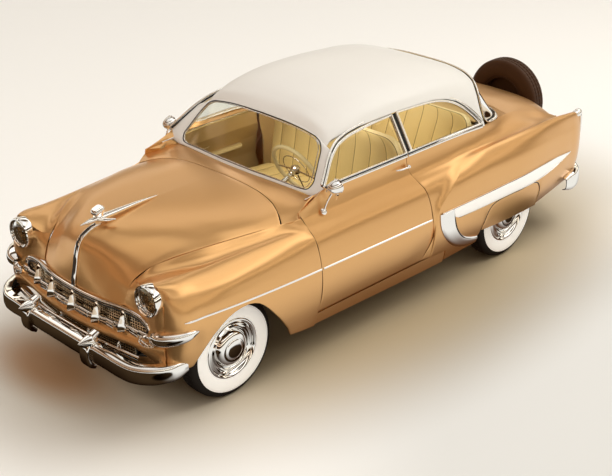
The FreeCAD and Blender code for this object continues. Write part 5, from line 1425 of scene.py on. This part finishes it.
# ---------------------------------------------------------------- wheels
# Profiles are (radius, place along the axle, outwards), for a wheel whose middle is at zero.
TYRE_PROFILE = (
    (0.190, -0.066), (0.200, -0.072), (0.222, -0.080), (0.250, -0.085), (0.285, -0.084), (0.315, -0.079),
    (0.334, -0.071), (0.343, -0.062), (0.347, -0.052), (0.349, -0.045), (0.349, -0.036), (0.343, -0.034),
    (0.343, -0.030), (0.350, -0.028), (0.350, -0.008), (0.344, -0.006), (0.344, 0.006), (0.350, 0.008),
    (0.350, 0.028), (0.343, 0.030), (0.343, 0.034), (0.349, 0.036), (0.349, 0.045), (0.347, 0.052),
    (0.343, 0.062), (0.334, 0.071), (0.318, 0.078), (0.306, 0.0815), (0.304, 0.0835), (0.285, 0.0855),
    (0.250, 0.0865), (0.226, 0.0815), (0.214, 0.0775), (0.211, 0.0745), (0.200, 0.072), (0.190, 0.066)
)
# The white band lies between these two places of the tyre's profile.
WHITE_FROM, WHITE_TO = 28, 33
WHEEL_PROFILE = (
    (0.212, 0.070), (0.213, 0.076), (0.208, 0.081), (0.200, 0.082), (0.192, 0.076), (0.187, 0.068),
    (0.182, 0.070), (0.176, 0.073), (0.170, 0.066), (0.164, 0.062), (0.160, 0.066), (0.154, 0.072),
    (0.147, 0.070), (0.140, 0.060), (0.132, 0.058), (0.127, 0.064), (0.122, 0.074), (0.112, 0.084),
    (0.098, 0.091), (0.080, 0.0955), (0.074, 0.0945), (0.071, 0.0960), (0.068, 0.0985), (0.050, 0.1015),
    (0.025, 0.1030), (0.0008, 0.1035), (0.0008, 0.040), (0.150, 0.030), (0.190, 0.010), (0.190, -0.060),
    (0.204, -0.070), (0.212, -0.070), (0.204, -0.060), (0.196, -0.050), (0.196, 0.050), (0.204, 0.064)
)
VALVE = ((0.0005, 0.0), (0.004, 0.001), (0.004, 0.020), (0.0005, 0.021))
WHEEL_UP = 350
TREAD_CUTS = 60


def notched(angle, size, along):
    """Small cuts across the tread's ribs."""
    on_rib = (size > 0.3465) & (np.abs(along) < 0.050)
    return np.where(on_rib & (np.cos(TREAD_CUTS * angle) > 0.35), -0.004, 0.0)


def wheel(name, across, station):
    """A road wheel: a tyre with a white side, and a chrome disc with its valve."""
    place = metres((across, station, WHEEL_UP))
    outward = np.array((math.copysign(1.0, across), 0, 0))
    points, faces = turned(TYRE_PROFILE, place, outward, 240, notched)
    white = []
    for face in faces:
        columns = [corner % len(TYRE_PROFILE) for corner in face]
        white.append(int(min(columns) >= WHITE_FROM and max(columns) <= WHITE_TO))
    tyre = Shape().add(points, faces, white)
    piece("tyre_skin_" + name, "wheel_" + name, tyre, [TYRE, WHITEWALL], ["tyre_" + name], sharp=45)
    disc = Shape().add(*turned(WHEEL_PROFILE, place, outward, 96))
    disc.add(*turned(VALVE, place + (0, 0, 0.176) + outward * 0.070, outward, 10), 1)
    piece("wheel_disc_" + name, "wheel_" + name, disc, [CHROME, BLACK], ["wheel_" + name], sharp=40)


wheel("front_left", 720, 0)
wheel("front_right", -720, 0)
wheel("rear_left", 747, 2921)
wheel("rear_right", -747, 2921)

# The spare stands behind the trunk: brown rubber all over, a dark pressed wheel inside.
spare_at = metres((0, 3965, 875))
spare = Shape().add(*turned(TYRE_PROFILE, spare_at, BACKWARD, 240, notched))
piece("spare_tyre_skin", "body", spare, [SPARE_RUBBER], ["spare_tyre"], sharp=45)
SPARE_DISC = (
    (0.208, 0.066), (0.212, 0.074), (0.206, 0.080), (0.198, 0.078), (0.190, 0.066), (0.188, 0.040),
    (0.180, 0.026), (0.150, 0.020), (0.128, 0.030), (0.112, 0.036), (0.090, 0.030), (0.066, 0.020),
    (0.040, 0.018), (0.034, 0.030), (0.0008, 0.034), (0.0008, 0.010), (0.060, 0.012), (0.150, 0.010),
    (0.184, 0.0), (0.188, -0.050), (0.200, -0.066), (0.208, -0.080), (0.212, -0.074), (0.208, -0.064),
    (0.196, -0.050), (0.196, 0.050)
)
NUT = ((0.0005, 0.018), (0.008, 0.016), (0.010, 0.006), (0.010, -0.004), (0.0005, -0.004))
NUT_COUNT, NUT_CIRCLE = 5, 0.075
spare_disc = Shape().add(*turned(SPARE_DISC, spare_at, BACKWARD, 72))
for number in range(NUT_COUNT):
    angle = 2 * math.pi * number / NUT_COUNT
    nut_at = spare_at + (NUT_CIRCLE * math.cos(angle), 0.022, NUT_CIRCLE * math.sin(angle))
    spare_disc.add(*turned(NUT, nut_at, BACKWARD, 6), 1)
piece("spare_wheel_disc", "body", spare_disc, [SPARE_RUBBER, STEEL], ["spare_wheel"], sharp=40)


# ---------------------------------------------------------------- cabin
# The seams between the pleats and round the pleated face are dark brown: painted shade in the creases.
SEAM_WITH_CREASE_SHADE = made("brown_seam_painted_crease_shade", (0.10, 0.065, 0.025), 0.7, 0.8, 400)
PLEAT_PITCH = 0.153
PLEAT_CROWN = 0.011
PLEAT_SHARES = (0.0, 0.05, 0.16, 0.32, 0.5, 0.68, 0.84, 0.95, 1.0)
SEAM_GAP = 0.0022
SEAM_MARGIN = 0.04
FADE_WIDTH = 0.045
SEAT_SWELL = 0.016
FOOT_CORNER = 0.04
BORDER_SHARES = (0.0, 0.05, 0.14, 0.32, 0.5, 0.68, 0.86, 1.0)
BORDER_PUFF = 0.012


def pleat_columns(half, first):
    """Places across a pleated face from -1 to 1, the crown at each, and where the seams are."""
    seams = []
    place = first
    while place < half - SEAM_MARGIN:
        seams.append(place)
        if place > 0:
            seams.insert(0, -place)
        place += PLEAT_PITCH
    stops = [-half] + seams + [half]
    across, crown, dark = [], [], []
    for near, far in zip(stops, stops[1:]):
        for share in PLEAT_SHARES:
            dark.append(share == 0.0 and near != -half)
            inner = near + SEAM_GAP + share * (far - near - 2 * SEAM_GAP)
            across.append(inner / half)
            crown.append((1 - abs(2 * share - 1) ** 2.4) ** 0.7)
    return np.array(across), np.array(crown), dark


def border_loops(edge_face, edge_back, outwards):
    """Closed lines round a cushion's padded border, from its face to its back."""
    ahead = np.roll(edge_back, -1, axis=0) - np.roll(edge_back, 1, axis=0)
    side = np.cross(ahead, outwards)
    side /= np.linalg.norm(side, axis=1, keepdims=True)
    middle = edge_back.mean(axis=0)
    if np.mean(np.sum(side * (edge_back - middle), axis=1)) < 0:
        side = -side
    loops = []
    for share in BORDER_SHARES:
        puff = BORDER_PUFF * (1 - abs(2 * share - 1) ** 2.5)
        loops.append(edge_face + (edge_back - edge_face) * share + side * puff)
    return loops


def cushion(foot, top, half, thick, corner, first):
    """A padded bench cushion with sewn pleats that run from its foot line to its top line.

    foot and top are (station, up) of the pleated face's edges, half is its half width, corner the radius of
    its top corners and first the place of its first seam. Finishes: 0 cloth, 1 seam in painted crease shade,
    2 border.
    """
    foot = metres((0, *foot))
    run = metres((0, *top)) - foot
    height = np.linalg.norm(run)
    run = run / height
    outwards = np.cross((1, 0, 0), run)
    across, pleats, dark = pleat_columns(half, first)
    rows = (1 - np.cos(np.linspace(0, math.pi, 34))) / 2 * height
    from_top = np.maximum(0, rows - (height - corner))
    from_foot = np.maximum(0, FOOT_CORNER - rows)
    width = half - corner + np.sqrt(np.maximum(0, corner**2 - from_top**2))
    width -= FOOT_CORNER - np.sqrt(np.maximum(0, FOOT_CORNER**2 - from_foot**2))
    fade = np.clip(np.minimum(rows, height - rows) / FADE_WIDTH, 0, 1) ** 0.5
    soft = 1 - (2 * rows / height - 1) ** 4
    sideways = across[None, :] * width[:, None]
    flat = foot + rows[:, None, None] * run + sideways[..., None] * np.array((1, 0, 0))
    bulge = PLEAT_CROWN * fade[:, None] * pleats[None, :]
    bulge += SEAT_SWELL * soft[:, None] * (1 - across[None, :] ** 6)
    face = flat + bulge[..., None] * outwards
    back = flat - outwards * thick
    down, over = face.shape[:2]
    rim = rim_of(down, over)
    count = len(rim)
    loops = border_loops(face.reshape(-1, 3)[rim], back.reshape(-1, 3)[rim], outwards)
    points = np.concatenate([face.reshape(-1, 3), back.reshape(-1, 3)] + loops[1:-1])
    inverted = bool(np.dot(normals_of(face)[down // 2, over // 2], outwards) < 0)
    faces = grid_faces(down, over, 0, inverted=inverted)
    finishes = [1 if seam else 0 for seam in dark[1:]] * (down - 1)
    faces += grid_faces(down, over, down * over, inverted=not inverted)
    finishes += [2] * ((down - 1) * (over - 1))
    rings = [rim]
    for start in range(2 * down * over, len(points), count):
        rings.append(list(range(start, start + count)))
    rings.append([index + down * over for index in rim])
    for ring, after in zip(rings, rings[1:]):
        for place in range(count):
            beside = (place + 1) % count
            quad = (ring[beside], ring[place], after[place], after[beside])
            faces.append(quad[::-1] if inverted else quad)
            finishes.append(1 if ring is rim else 2)
    return points, faces, finishes


# Columns: name, replaced node, foot and top of the pleated face (station, up), half width, thickness, radius
# of the top corners, first seam from the middle.
CUSHIONS = (
    ("front_seat_back", ["front_seat"], (1716, 716), (1800, 1226), 0.640, 0.080, 0.17, 0.0775),
    ("front_seat_cushion", [], (1326, 748), (1712, 738), 0.640, 0.190, 0.06, 0.0775),
    ("rear_seat_back", ["rear_seat"], (2494, 716), (2672, 1180), 0.590, 0.075, 0.12, 0.0),
    ("rear_seat_cushion", [], (2106, 740), (2488, 730), 0.574, 0.190, 0.06, 0.0),
)
for name, node, *sizes in CUSHIONS:
    seat = Shape().add(*cushion(*sizes))
    piece(name, "body", seat, [CLOTH, SEAM_WITH_CREASE_SHADE, PIPING], node, sharp=60)


def level_bar(half, station, up, section, count=6):
    """A straight bar across the car."""
    return sweep(line([(-half, station, up), (0, station, up), (half, station, up)], count), section)


bases = Shape()
bases.add(*level_bar(620, 1590, 468, rounded(0.47, 0.185, 0.03, 4)))
bases.add(*level_bar(560, 2290, 470, rounded(0.34, 0.185, 0.03, 4)))
bases.add(*level_bar(600, 1852, 640, rounded(0.05, 0.50, 0.02, 4)))
piece("seat_bases", "body", bases, [TRIM])

# ---------------------------------------------------------------- steering wheel, column and dashboard
HUB = metres((310, 1065, 1145))
COLUMN_RUN = np.array((0, math.cos(math.radians(25)), math.sin(math.radians(25))))
RIM_SECTION = oval(0.029, 0.030, 14) + (0.202, 0)
HORN_RING = oval(0.007, 0.007, 10) + (0.118, 0.004)
HUB_PROFILE = (
    (0.001, 0.020), (0.020, 0.019), (0.036, 0.010), (0.042, -0.004), (0.036, -0.020), (0.026, -0.030),
    (0.024, -0.052), (0.001, -0.054))
HORN_BUTTON = ((0.001, 0.034), (0.015, 0.031), (0.024, 0.022), (0.024, 0.018), (0.001, 0.016))
wheel_rim = Shape()
wheel_rim.add(*turned(RIM_SECTION, HUB, COLUMN_RUN, 96))
wheel_rim.add(*turned(HORN_RING, HUB, COLUMN_RUN, 72), 1)
wheel_rim.add(*turned(HUB_PROFILE, HUB, COLUMN_RUN, 36), 1)
wheel_rim.add(*turned(HORN_BUTTON, HUB, COLUMN_RUN, 32), 1)
SPOKE_SIDE = np.array((1.0, 0, 0))
SPOKE_UP = np.cross(COLUMN_RUN, SPOKE_SIDE) * -1
# Places along a spoke: distance from the hub, drop under the rim.
SPOKE_LINE = ((0.022, 0.004), (0.08, 0.002), (0.14, 0.0), (0.192, 0.0))
for angle in (-8, 188, 270):
    turn = math.radians(angle)
    run = SPOKE_SIDE * math.cos(turn) + SPOKE_UP * math.sin(turn)
    spoke_path = [HUB + run * place - COLUMN_RUN * drop for place, drop in SPOKE_LINE]
    wheel_rim.add(*sweep(spoke_path, oval(0.015, 0.009, 12), COLUMN_RUN), 1)
piece("steering_wheel_rim", "steering_wheel", wheel_rim, [IVORY, CHROME], ["steering_wheel"])

COLUMN_PROFILE = (
    (0.001, -0.040), (0.017, -0.040), (0.019, -0.050), (0.019, -0.140), (0.016, -0.150), (0.016, -0.400),
    (0.001, -0.400))
COLLAR_PROFILE = ((0.018, -0.060), (0.0188, -0.058), (0.0188, -0.074), (0.018, -0.072))
column = Shape().add(*turned(COLUMN_PROFILE, HUB, COLUMN_RUN, 32))
column.add(*turned(COLLAR_PROFILE, HUB, COLUMN_RUN, 32), 1)
piece("column_tube", "body", column, [CHROME, IVORY], ["steering_column"])

# The dashboard's section, closed: station, up.
DASH_SIDE = (
    (768, 902), (767, 1000), (768, 1080), (800, 1090), (860, 1092), (905, 1084), (926, 1058),
    (922, 1030), (910, 1000), (906, 940), (900, 884), (840, 882), (768, 902)
)
DASH_HALF, DASH_COUNT = 0.683, 41
section = resampled(np.array(DASH_SIDE, float) / 1000 + (FRONT_AXLE, 0), 60)[:-1]
places = np.empty((DASH_COUNT, len(section), 3))
places[..., 0] = np.linspace(-DASH_HALF, DASH_HALF, DASH_COUNT)[:, None]
places[..., 1:] = section
dash = Shape().add(places, tube_faces(DASH_COUNT, len(section), inverted=False))
dash.add(*level_bar(660, 914, 985, rounded(0.008, 0.010, 0.003, 3), 20), 1)
# The dials: across, up, radius. Each is a bright ring with a dark face.
DIALS = ((310, 1030, 0.052), (210, 1010, 0.028), (410, 1010, 0.028), (0, 1012, 0.04))
DIAL_AXIS = (0, 1, -0.12)
for across, up, radius in DIALS:
    place = metres((across, 908, up))
    ring = ((0.001, 0.001), (radius - 0.006, 0.001), (radius - 0.006, 0.010), (radius - 0.002, 0.013),
            (radius, 0.010), (radius, -0.008), (0.001, -0.008))
    dial = ((0.001, 0.003), (radius - 0.007, 0.003), (radius - 0.007, 0.001), (0.001, 0.001))
    dash.add(*turned(ring, place, DIAL_AXIS, 40), 1)
    dash.add(*turned(dial, place, DIAL_AXIS, 40), 2)
DASH_KNOB = (
    (0.001, 0.026), (0.008, 0.024), (0.011, 0.018), (0.010, 0.008), (0.005, 0.006), (0.005, -0.004),
    (0.001, -0.004))
for across in (-60, 60, 120, 480, 540):
    dash.add(*turned(DASH_KNOB, metres((across, 904, 925)), BACKWARD, 24), 1)
# The edges of the glove box's lid.
for across in (-480, -220):
    lid_edge = line([(across, 906, 975), (across, 904, 935), (across, 901, 893)], 6)
    dash.add(*sweep(lid_edge, rounded(0.002, 0.003, 0.001, 2), BACKWARD), 2)
piece("dash_panel", "body", dash, [DASH, CHROME, BLACK], ["dashboard"])

# ---------------------------------------------------------------- doors, side trim, floor and lining
# The door's inner panel: up, across.
DOOR_LINING = ((1190, 738), (1130, 738), (1050, 748), (905, 836), (748, 884), (512, 876), (412, 856))
LINING_FRONT = 0.702
SHUT_SLOPE = 0.34


def lined_door():
    """A door between its outer skin and its inner panel, with its shut faces."""
    lining = np.array(DOOR_LINING[::-1], float) / 1000
    inner = door_grid.copy()
    heights = np.clip(door_grid[..., 2], lining[0, 0], lining[-1, 0])
    inner[..., 0] = np.interp(heights, lining[:, 0], lining[:, 1])
    inner[..., 2] = heights
    front = LINING_FRONT + FRONT_AXLE
    for column in range(door_grid.shape[1]):
        start, end = door_grid[0, column, 1], door_grid[-1, column, 1]
        back = end - SHUT_SLOPE * (door_grid[-1, column, 0] - inner[-1, column, 0]) - 0.004
        share = (door_grid[:, column, 1] - start) / (end - start)
        inner[:, column, 1] = front + share * (back - front)
    face, normals = rolled(door_grid, LEFT, EDGE_ROLL)
    points, faces = closed(face, inner, LEFT)
    panels = (face.shape[0] - 1) * (face.shape[1] - 1)
    return points, faces, [0] * panels + [1] * panels + [0] * (len(faces) - 2 * panels)


ARM_REST = ((842, 1250, 872), (846, 1350, 874), (846, 1450, 876), (842, 1560, 878))
WINDER_BOSS = ((0.001, 0.012), (0.016, 0.010), (0.020, 0.004), (0.020, -0.004), (0.001, -0.004))
WINDER = ((778, 1120, 968), (776, 1170, 972), (778, 1205, 978))
INNER_HANDLE = ((792, 800, 966), (782, 806, 972), (780, 850, 973), (780, 890, 973))
LINING_STRIP = ((737, 720, 1150), (737, 1100, 1176), (737, 1400, 1176), (737, 1660, 1176))
for side, body in SIDES:
    door = Shape()
    points, faces, finishes = lined_door()
    door.add(*one_side(points, faces, side), finishes)
    for part, finish in (
            (sweep(line(ARM_REST, 20) - (0.026, 0, 0), rounded(0.052, 0.036, 0.016, 5)), 2),
            (turned(WINDER_BOSS, metres((792, 1120, 962)), (-0.85, 0, 0.53), 28), 3),
            (sweep(line(WINDER, 10), oval(0.010, 0.008, 10)), 3),
            (sweep(line(INNER_HANDLE, 12), oval(0.010, 0.010, 10)), 3),
            (sweep(line(LINING_STRIP, 20), rounded(0.006, 0.016, 0.003, 3)), 3)):
        door.add(*one_side(*part, side), finish)
    piece("door_skin_" + body, "door_" + body, door, [PAINT, TRIM, PIPING, CHROME], ["door_" + body])

# The trim beside the rear seat: rows backwards, each from the top down.
SIDE_TRIM = (
    ((722, 1694, 1190), (738, 1704, 1060), (752, 1752, 900), (764, 1768, 700), (756, 1788, 420)),
    ((728, 1800, 1190), (744, 1800, 1060), (760, 1850, 900), (770, 1900, 700), (760, 1900, 420)),
    ((724, 2000, 1188), (742, 2000, 1060), (756, 2040, 900), (762, 2060, 700), (752, 2060, 420)),
    at(2250, (706, 1180), (720, 1060), (700, 900), (680, 720), (660, 420)),
    at(2480, (672, 1160), (676, 1060), (640, 900), (610, 760), (600, 560)),
    ((630, 2660, 1140), (630, 2680, 1060), (610, 2700, 900), (600, 2700, 760), (596, 2700, 560)),
)
side_trim = Shape().both(*plate(skin(SIDE_TRIM, 40, 30), 0.006, (-1, 0, 0)))
piece("rear_side_trim", "body", side_trim, [TRIM])


def level_row(station, up):
    """A row of the carpet: three places across the floor."""
    return at(station, (-590, up), (0, up), (590, up))


CARPET_ROWS = (level_row(800, 372), level_row(1300, 371), level_row(1860, 371), level_row(2090, 371))
TOE_BOARD = (level_row(664, 552), level_row(676, 545), level_row(735, 462), level_row(795, 376))
CARPET_THICK = 0.004
carpet = Shape()
carpet.add(*plate(skin(CARPET_ROWS, 60, 40), CARPET_THICK, ABOVE))
carpet.add(*plate(skin(TOE_BOARD, 30, 20), CARPET_THICK, (0, 0.6, 0.8)))
piece("carpet", "body", carpet, [CARPET])

# The headlining hangs under the roof, on bows that show as soft ridges.
HEADLINING_GAP, BOW_COUNT, BOW_DEPTH = 0.018, 6, 0.004
lining_grid = skin([row[:6] for row in ROOF[1:-1]], 90, 40)
up_normals = normals_of(lining_grid)
up_normals *= np.sign(up_normals[..., 2:3])
bows = BOW_DEPTH * np.abs(np.cos(np.linspace(0, BOW_COUNT * math.pi, len(lining_grid))))[:, None, None]
ceiling = full_width(lining_grid - up_normals * (HEADLINING_GAP + bows))
piece("headlining", "body", Shape().add(*plate(ceiling, 0.002, (0, 0, -1))), [HEADLINING])

SHELF_ROWS = (
    at(2752, (0, 1122), (300, 1122), (568, 1122)),
    at(2800, (0, 1122), (300, 1122), (568, 1122)),
    ((0, 2960, 1126), (280, 2930, 1126), (500, 2870, 1126)),
)
shelf = Shape().add(*wide_plate(SHELF_ROWS, 16, 16, 0.012, ABOVE))
piece("rear_shelf", "body", shelf, [TRIM], ["parcel_shelf"])

WALL_ROWS = (
    at(644, (0, 1140), (300, 1126), (570, 1098), (690, 1058)),
    at(644, (0, 900), (300, 900), (570, 900), (696, 900)),
    at(644, (0, 700), (300, 700), (570, 700), (698, 700)),
    at(644, (0, 398), (300, 398), (570, 398), (698, 398)),
)
wall = Shape().add(*wide_plate(WALL_ROWS, 24, 24, 0.012, AHEAD))
piece("firewall_panel", "body", wall, [CHASSIS], ["firewall"])

# Pieces whose construction shape is also their finished shape, with their finishes.
PLAIN = (
    ("rockers", PAINT), ("frame", CHASSIS), ("floor_pan", CHASSIS), ("inner_fenders", CHASSIS),
    ("front_suspension", CHASSIS), ("rear_springs", CHASSIS), ("spare_carrier", CHASSIS),
    ("engine_block", IRON), ("rear_axle", IRON), ("knuckle_left", IRON), ("knuckle_right", IRON),
    ("exhaust", STEEL), ("fuel_tank", STEEL),
)
for name, material in PLAIN:
    refinish(name, material)


# ---------------------------------------------------------------- floor, light and camera
def mixed(tree, kind, first, second):
    """Two colours put together, by MULTIPLY or ADD."""
    mix = tree.nodes.new("ShaderNodeMix")
    mix.data_type = "RGBA"
    mix.blend_type = kind
    mix.inputs["Factor"].default_value = 1.0
    tree.links.new(first, mix.inputs["A"])
    tree.links.new(second, mix.inputs["B"])
    return mix.outputs["Result"]


def vector_node(tree, operation, link, value=(0, 0, 0)):
    """A vector calculation on a link and a value."""
    node = add_node(tree, "VectorMath", [(link, 0)])
    node.operation = operation
    node.inputs[1].default_value = value
    return node.outputs


def step_up(tree, value, low, high):
    """0 where the value is under low, 1 where it is over high, smooth between them."""
    spread = add_node(tree, "MapRange", [(value, "Value")], From_Min=low, From_Max=high)
    spread.interpolation_type = "SMOOTHSTEP"
    return spread.outputs["Result"]


def away_from(tree, centre, radii, near, far):
    """How far a place on the floor is from an oval: 0 up to near times its radii, 1 from far times on."""
    place = add_node(tree, "TexCoord").outputs["Object"]
    shifted_place = vector_node(tree, "SUBTRACT", place, (*centre, 0))["Vector"]
    scaled = vector_node(tree, "MULTIPLY", shifted_place, (1 / radii[0], 1 / radii[1], 0))["Vector"]
    return step_up(tree, vector_node(tree, "LENGTH", scaled)["Value"], near, far)


def facing(tree, direction, towards, low, high):
    """0 where the direction points less than low towards a direction, 1 from high on."""
    return step_up(tree, vector_node(tree, "DOT_PRODUCT", direction, towards)["Value"], low, high)


# Ovals on the floor: centre, radii, then the two shares of the radii between which the colour changes. The
# first is round the car and is painted shadow, browner near it; the others lie ahead of it and beside it and
# are painted shadows too. Then the two colours.
FLOOR_WITH_PAINTED_SHADOW = (((0, 0.25), (1.6, 2.85), 0.60, 1.36), (0.52, 0.42, 0.27), (0.72, 0.71, 0.68))
PAINTED_FLOOR_SHADOWS = (
    (((-0.35, -2.3), (0.85, 0.42), 0.2, 1.05), (0.68, 0.44, 0.28)),
    (((3.6, 0.6), (3.0, 3.6), 0.65, 1.05), (0.72, 0.73, 0.73)),
)
# Painted light: the floor glows more the farther it lies from the car.
PAINTED_FLOOR_LIGHT = (((0, 0), (1.6, 3.1), 0.80, 1.35), (0, 0, 0), (0.22, 0.22, 0.215))
# What bright metal sees of the floor, in the same form: a painted reflection, dark near the car and pale
# beyond it. The large oval darkens it far ahead; the small ovals are painted shade in what the wheel covers
# and the bumper's corner mirror.
PAINTED_FLOOR_REFLECTION = (((0, 0.1), (1.42, 3.4), 0.68, 1.18), (0.10, 0.038, 0.012), (0.95, 0.94, 0.89))
PAINTED_REFLECTION_DARK = (0.05, 0.03, 0.015)
PAINTED_REFLECTION_SHADOWS = (
    (((-0.7, -5.7), (3.5, 4.3), 0.92, 1.15), PAINTED_REFLECTION_DARK),
    (((1.22, -1.30), (0.36, 0.36), 0.7, 1.0), PAINTED_REFLECTION_DARK),
    (((1.20, 1.88), (0.36, 0.40), 0.7, 1.0), PAINTED_REFLECTION_DARK),
    (((1.62, -2.62), (0.50, 0.46), 0.7, 1.0), PAINTED_REFLECTION_DARK),
)


def floor_colour(tree, plain, shaded=()):
    """A plain colour that changes with the distance from an oval, darkened inside other ovals."""
    oval_of, low, high = plain
    colour = two_colours(tree, away_from(tree, *oval_of), low, high)
    for oval_of, low in shaded:
        colour = mixed(tree, "MULTIPLY", colour, two_colours(tree, away_from(tree, *oval_of), low, (1, 1, 1)))
    return colour


def floor_finish():
    """A pale warm floor with painted shadow, browner near the car, and painted light that grows away from it.
    Bright metal sees a painted reflection of it, dark under and in front of the car.
    """
    material, shader = finish_of("studio_floor", (0.8, 0.77, 0.7), 0.7, Emission_Strength=1.0)
    tree = material.node_tree
    tree.links.new(floor_colour(tree, FLOOR_WITH_PAINTED_SHADOW, PAINTED_FLOOR_SHADOWS), shader.inputs["Base Color"])
    tree.links.new(floor_colour(tree, PAINTED_FLOOR_LIGHT), shader.inputs["Emission Color"])
    mirrored = add_node(tree, "Emission", [(floor_colour(tree, PAINTED_FLOOR_REFLECTION, PAINTED_REFLECTION_SHADOWS), "Color")],
                        Strength=1.0)
    # Glossy rays see the painted reflection instead of the floor's own shading.
    mix = add_node(tree, "MixShader", [
        (add_node(tree, "LightPath").outputs["Is Glossy Ray"], "Fac"),
        (shader.outputs["BSDF"], 1), (mirrored.outputs["Emission"], 2)])
    tree.links.new(mix.outputs["Shader"], tree.nodes["Material Output"].inputs["Surface"])
    return material


bpy.ops.mesh.primitive_plane_add(size=120, location=(0, 0, 0))
floor = bpy.context.active_object
floor.name = "studio_floor"
floor.data.materials.append(floor_finish())


def lamp(name, place, aim, size, power, colour):
    """A soft area light aimed at a place."""
    data = bpy.data.lights.new(name, "AREA")
    data.shape = "RECTANGLE"
    data.size, data.size_y = size
    data.energy = power
    data.color = colour
    thing = bpy.data.objects.new(name, data)
    bpy.context.scene.collection.objects.link(thing)
    thing.location = place
    direction = Vector(aim) - Vector(place)
    thing.rotation_euler = direction.to_track_quat("-Z", "Y").to_euler()
    thing.visible_glossy = False
    return thing


lamp("key_light", (4.0, 6.5, 9.0), (0, 0.5, 0.4), (7, 5), 590, (1, 0.97, 0.92))
lamp("front_light", (0.5, -11, 8), (0, -2.5, 0), (7, 4), 540, (1, 0.97, 0.93))
lamp("cabin_light", (0, 0.25, 1.44), (0, 0.25, 0.5), (0.8, 1.3), 6.5, (1, 0.92, 0.78))

# The sky's colours, by how far up the direction points.
SKY_STOPS = (
    (0.0, (0.80, 0.68, 0.52)), (0.035, (0.80, 0.66, 0.48)), (0.05, (0.03, 0.012, 0.004)),
    (0.20, (0.03, 0.012, 0.004)), (0.225, (1.9, 1.75, 1.45)), (0.29, (1.9, 1.75, 1.45)),
    (0.315, (0.05, 0.02, 0.008)), (0.345, (0.05, 0.02, 0.008)), (0.37, (1.25, 1.15, 0.95)),
    (0.42, (1.25, 1.15, 0.95)), (0.45, (0.05, 0.022, 0.01)), (0.57, (0.05, 0.022, 0.01)),
    (0.61, (1.5, 1.45, 1.35)), (0.72, (1.5, 1.45, 1.35)), (0.76, (0.10, 0.06, 0.03)),
    (0.86, (0.10, 0.06, 0.03)), (0.91, (0.95, 0.94, 0.90)), (1.0, (0.95, 0.94, 0.90)),
)
SKY_BEHIND = (0.50, 0.34, 0.24)
# Directions, with how closely the view has to point along them for the change to begin and to end.
BEHIND_FACING = ((0.34, 0.94, 0), -0.8, 0.1)
KEY_FACING = ((0.308, 0.533, 0.788), 0.88, 0.985)
KEY_GLOW = (1.0, 1.0, 0.96)
BACKDROP = (0.80, 0.77, 0.71, 1)


world = bpy.data.worlds.new("studio")
bpy.context.scene.world = world
world.use_nodes = True
sky = world.node_tree
ground = sky.nodes["Background"]
view = add_node(sky, "TexCoord").outputs["Generated"]
split = add_node(sky, "SeparateXYZ", [(view, "Vector")])
ramp = add_node(sky, "ValToRGB", [(split.outputs["Z"], "Fac")])
for index, (position, colour) in enumerate(SKY_STOPS):
    element = ramp.color_ramp.elements[index] if index < 2 else ramp.color_ramp.elements.new(position)
    element.position = position
    element.color = (*colour, 1)
side_light = two_colours(sky, facing(sky, view, *BEHIND_FACING), SKY_BEHIND, (1, 1, 1))
key_glow = two_colours(sky, facing(sky, view, *KEY_FACING), (0, 0, 0), KEY_GLOW)
total = mixed(sky, "ADD", mixed(sky, "MULTIPLY", ramp.outputs["Color"], side_light), key_glow)
backdrop = sky.nodes.new("ShaderNodeMix")
backdrop.data_type = "RGBA"
backdrop.inputs["B"].default_value = BACKDROP
sky.links.new(add_node(sky, "LightPath").outputs["Is Camera Ray"], backdrop.inputs["Factor"])
sky.links.new(total, backdrop.inputs["A"])
sky.links.new(backdrop.outputs["Result"], ground.inputs["Color"])
ground.inputs["Strength"].default_value = 1.0
bpy.context.scene.view_settings.view_transform = "Standard"

camera_data = bpy.data.cameras.new("camera")
camera_data.sensor_width = 36
camera_data.lens = 72.35
camera = bpy.data.objects.new("camera", camera_data)
bpy.context.scene.collection.objects.link(camera)
camera.location = (5.95, -6.18, 4.46)
camera.rotation_euler = (math.radians(90 - 25.85), 0, math.radians(44.72))
bpy.context.scene.camera = camera
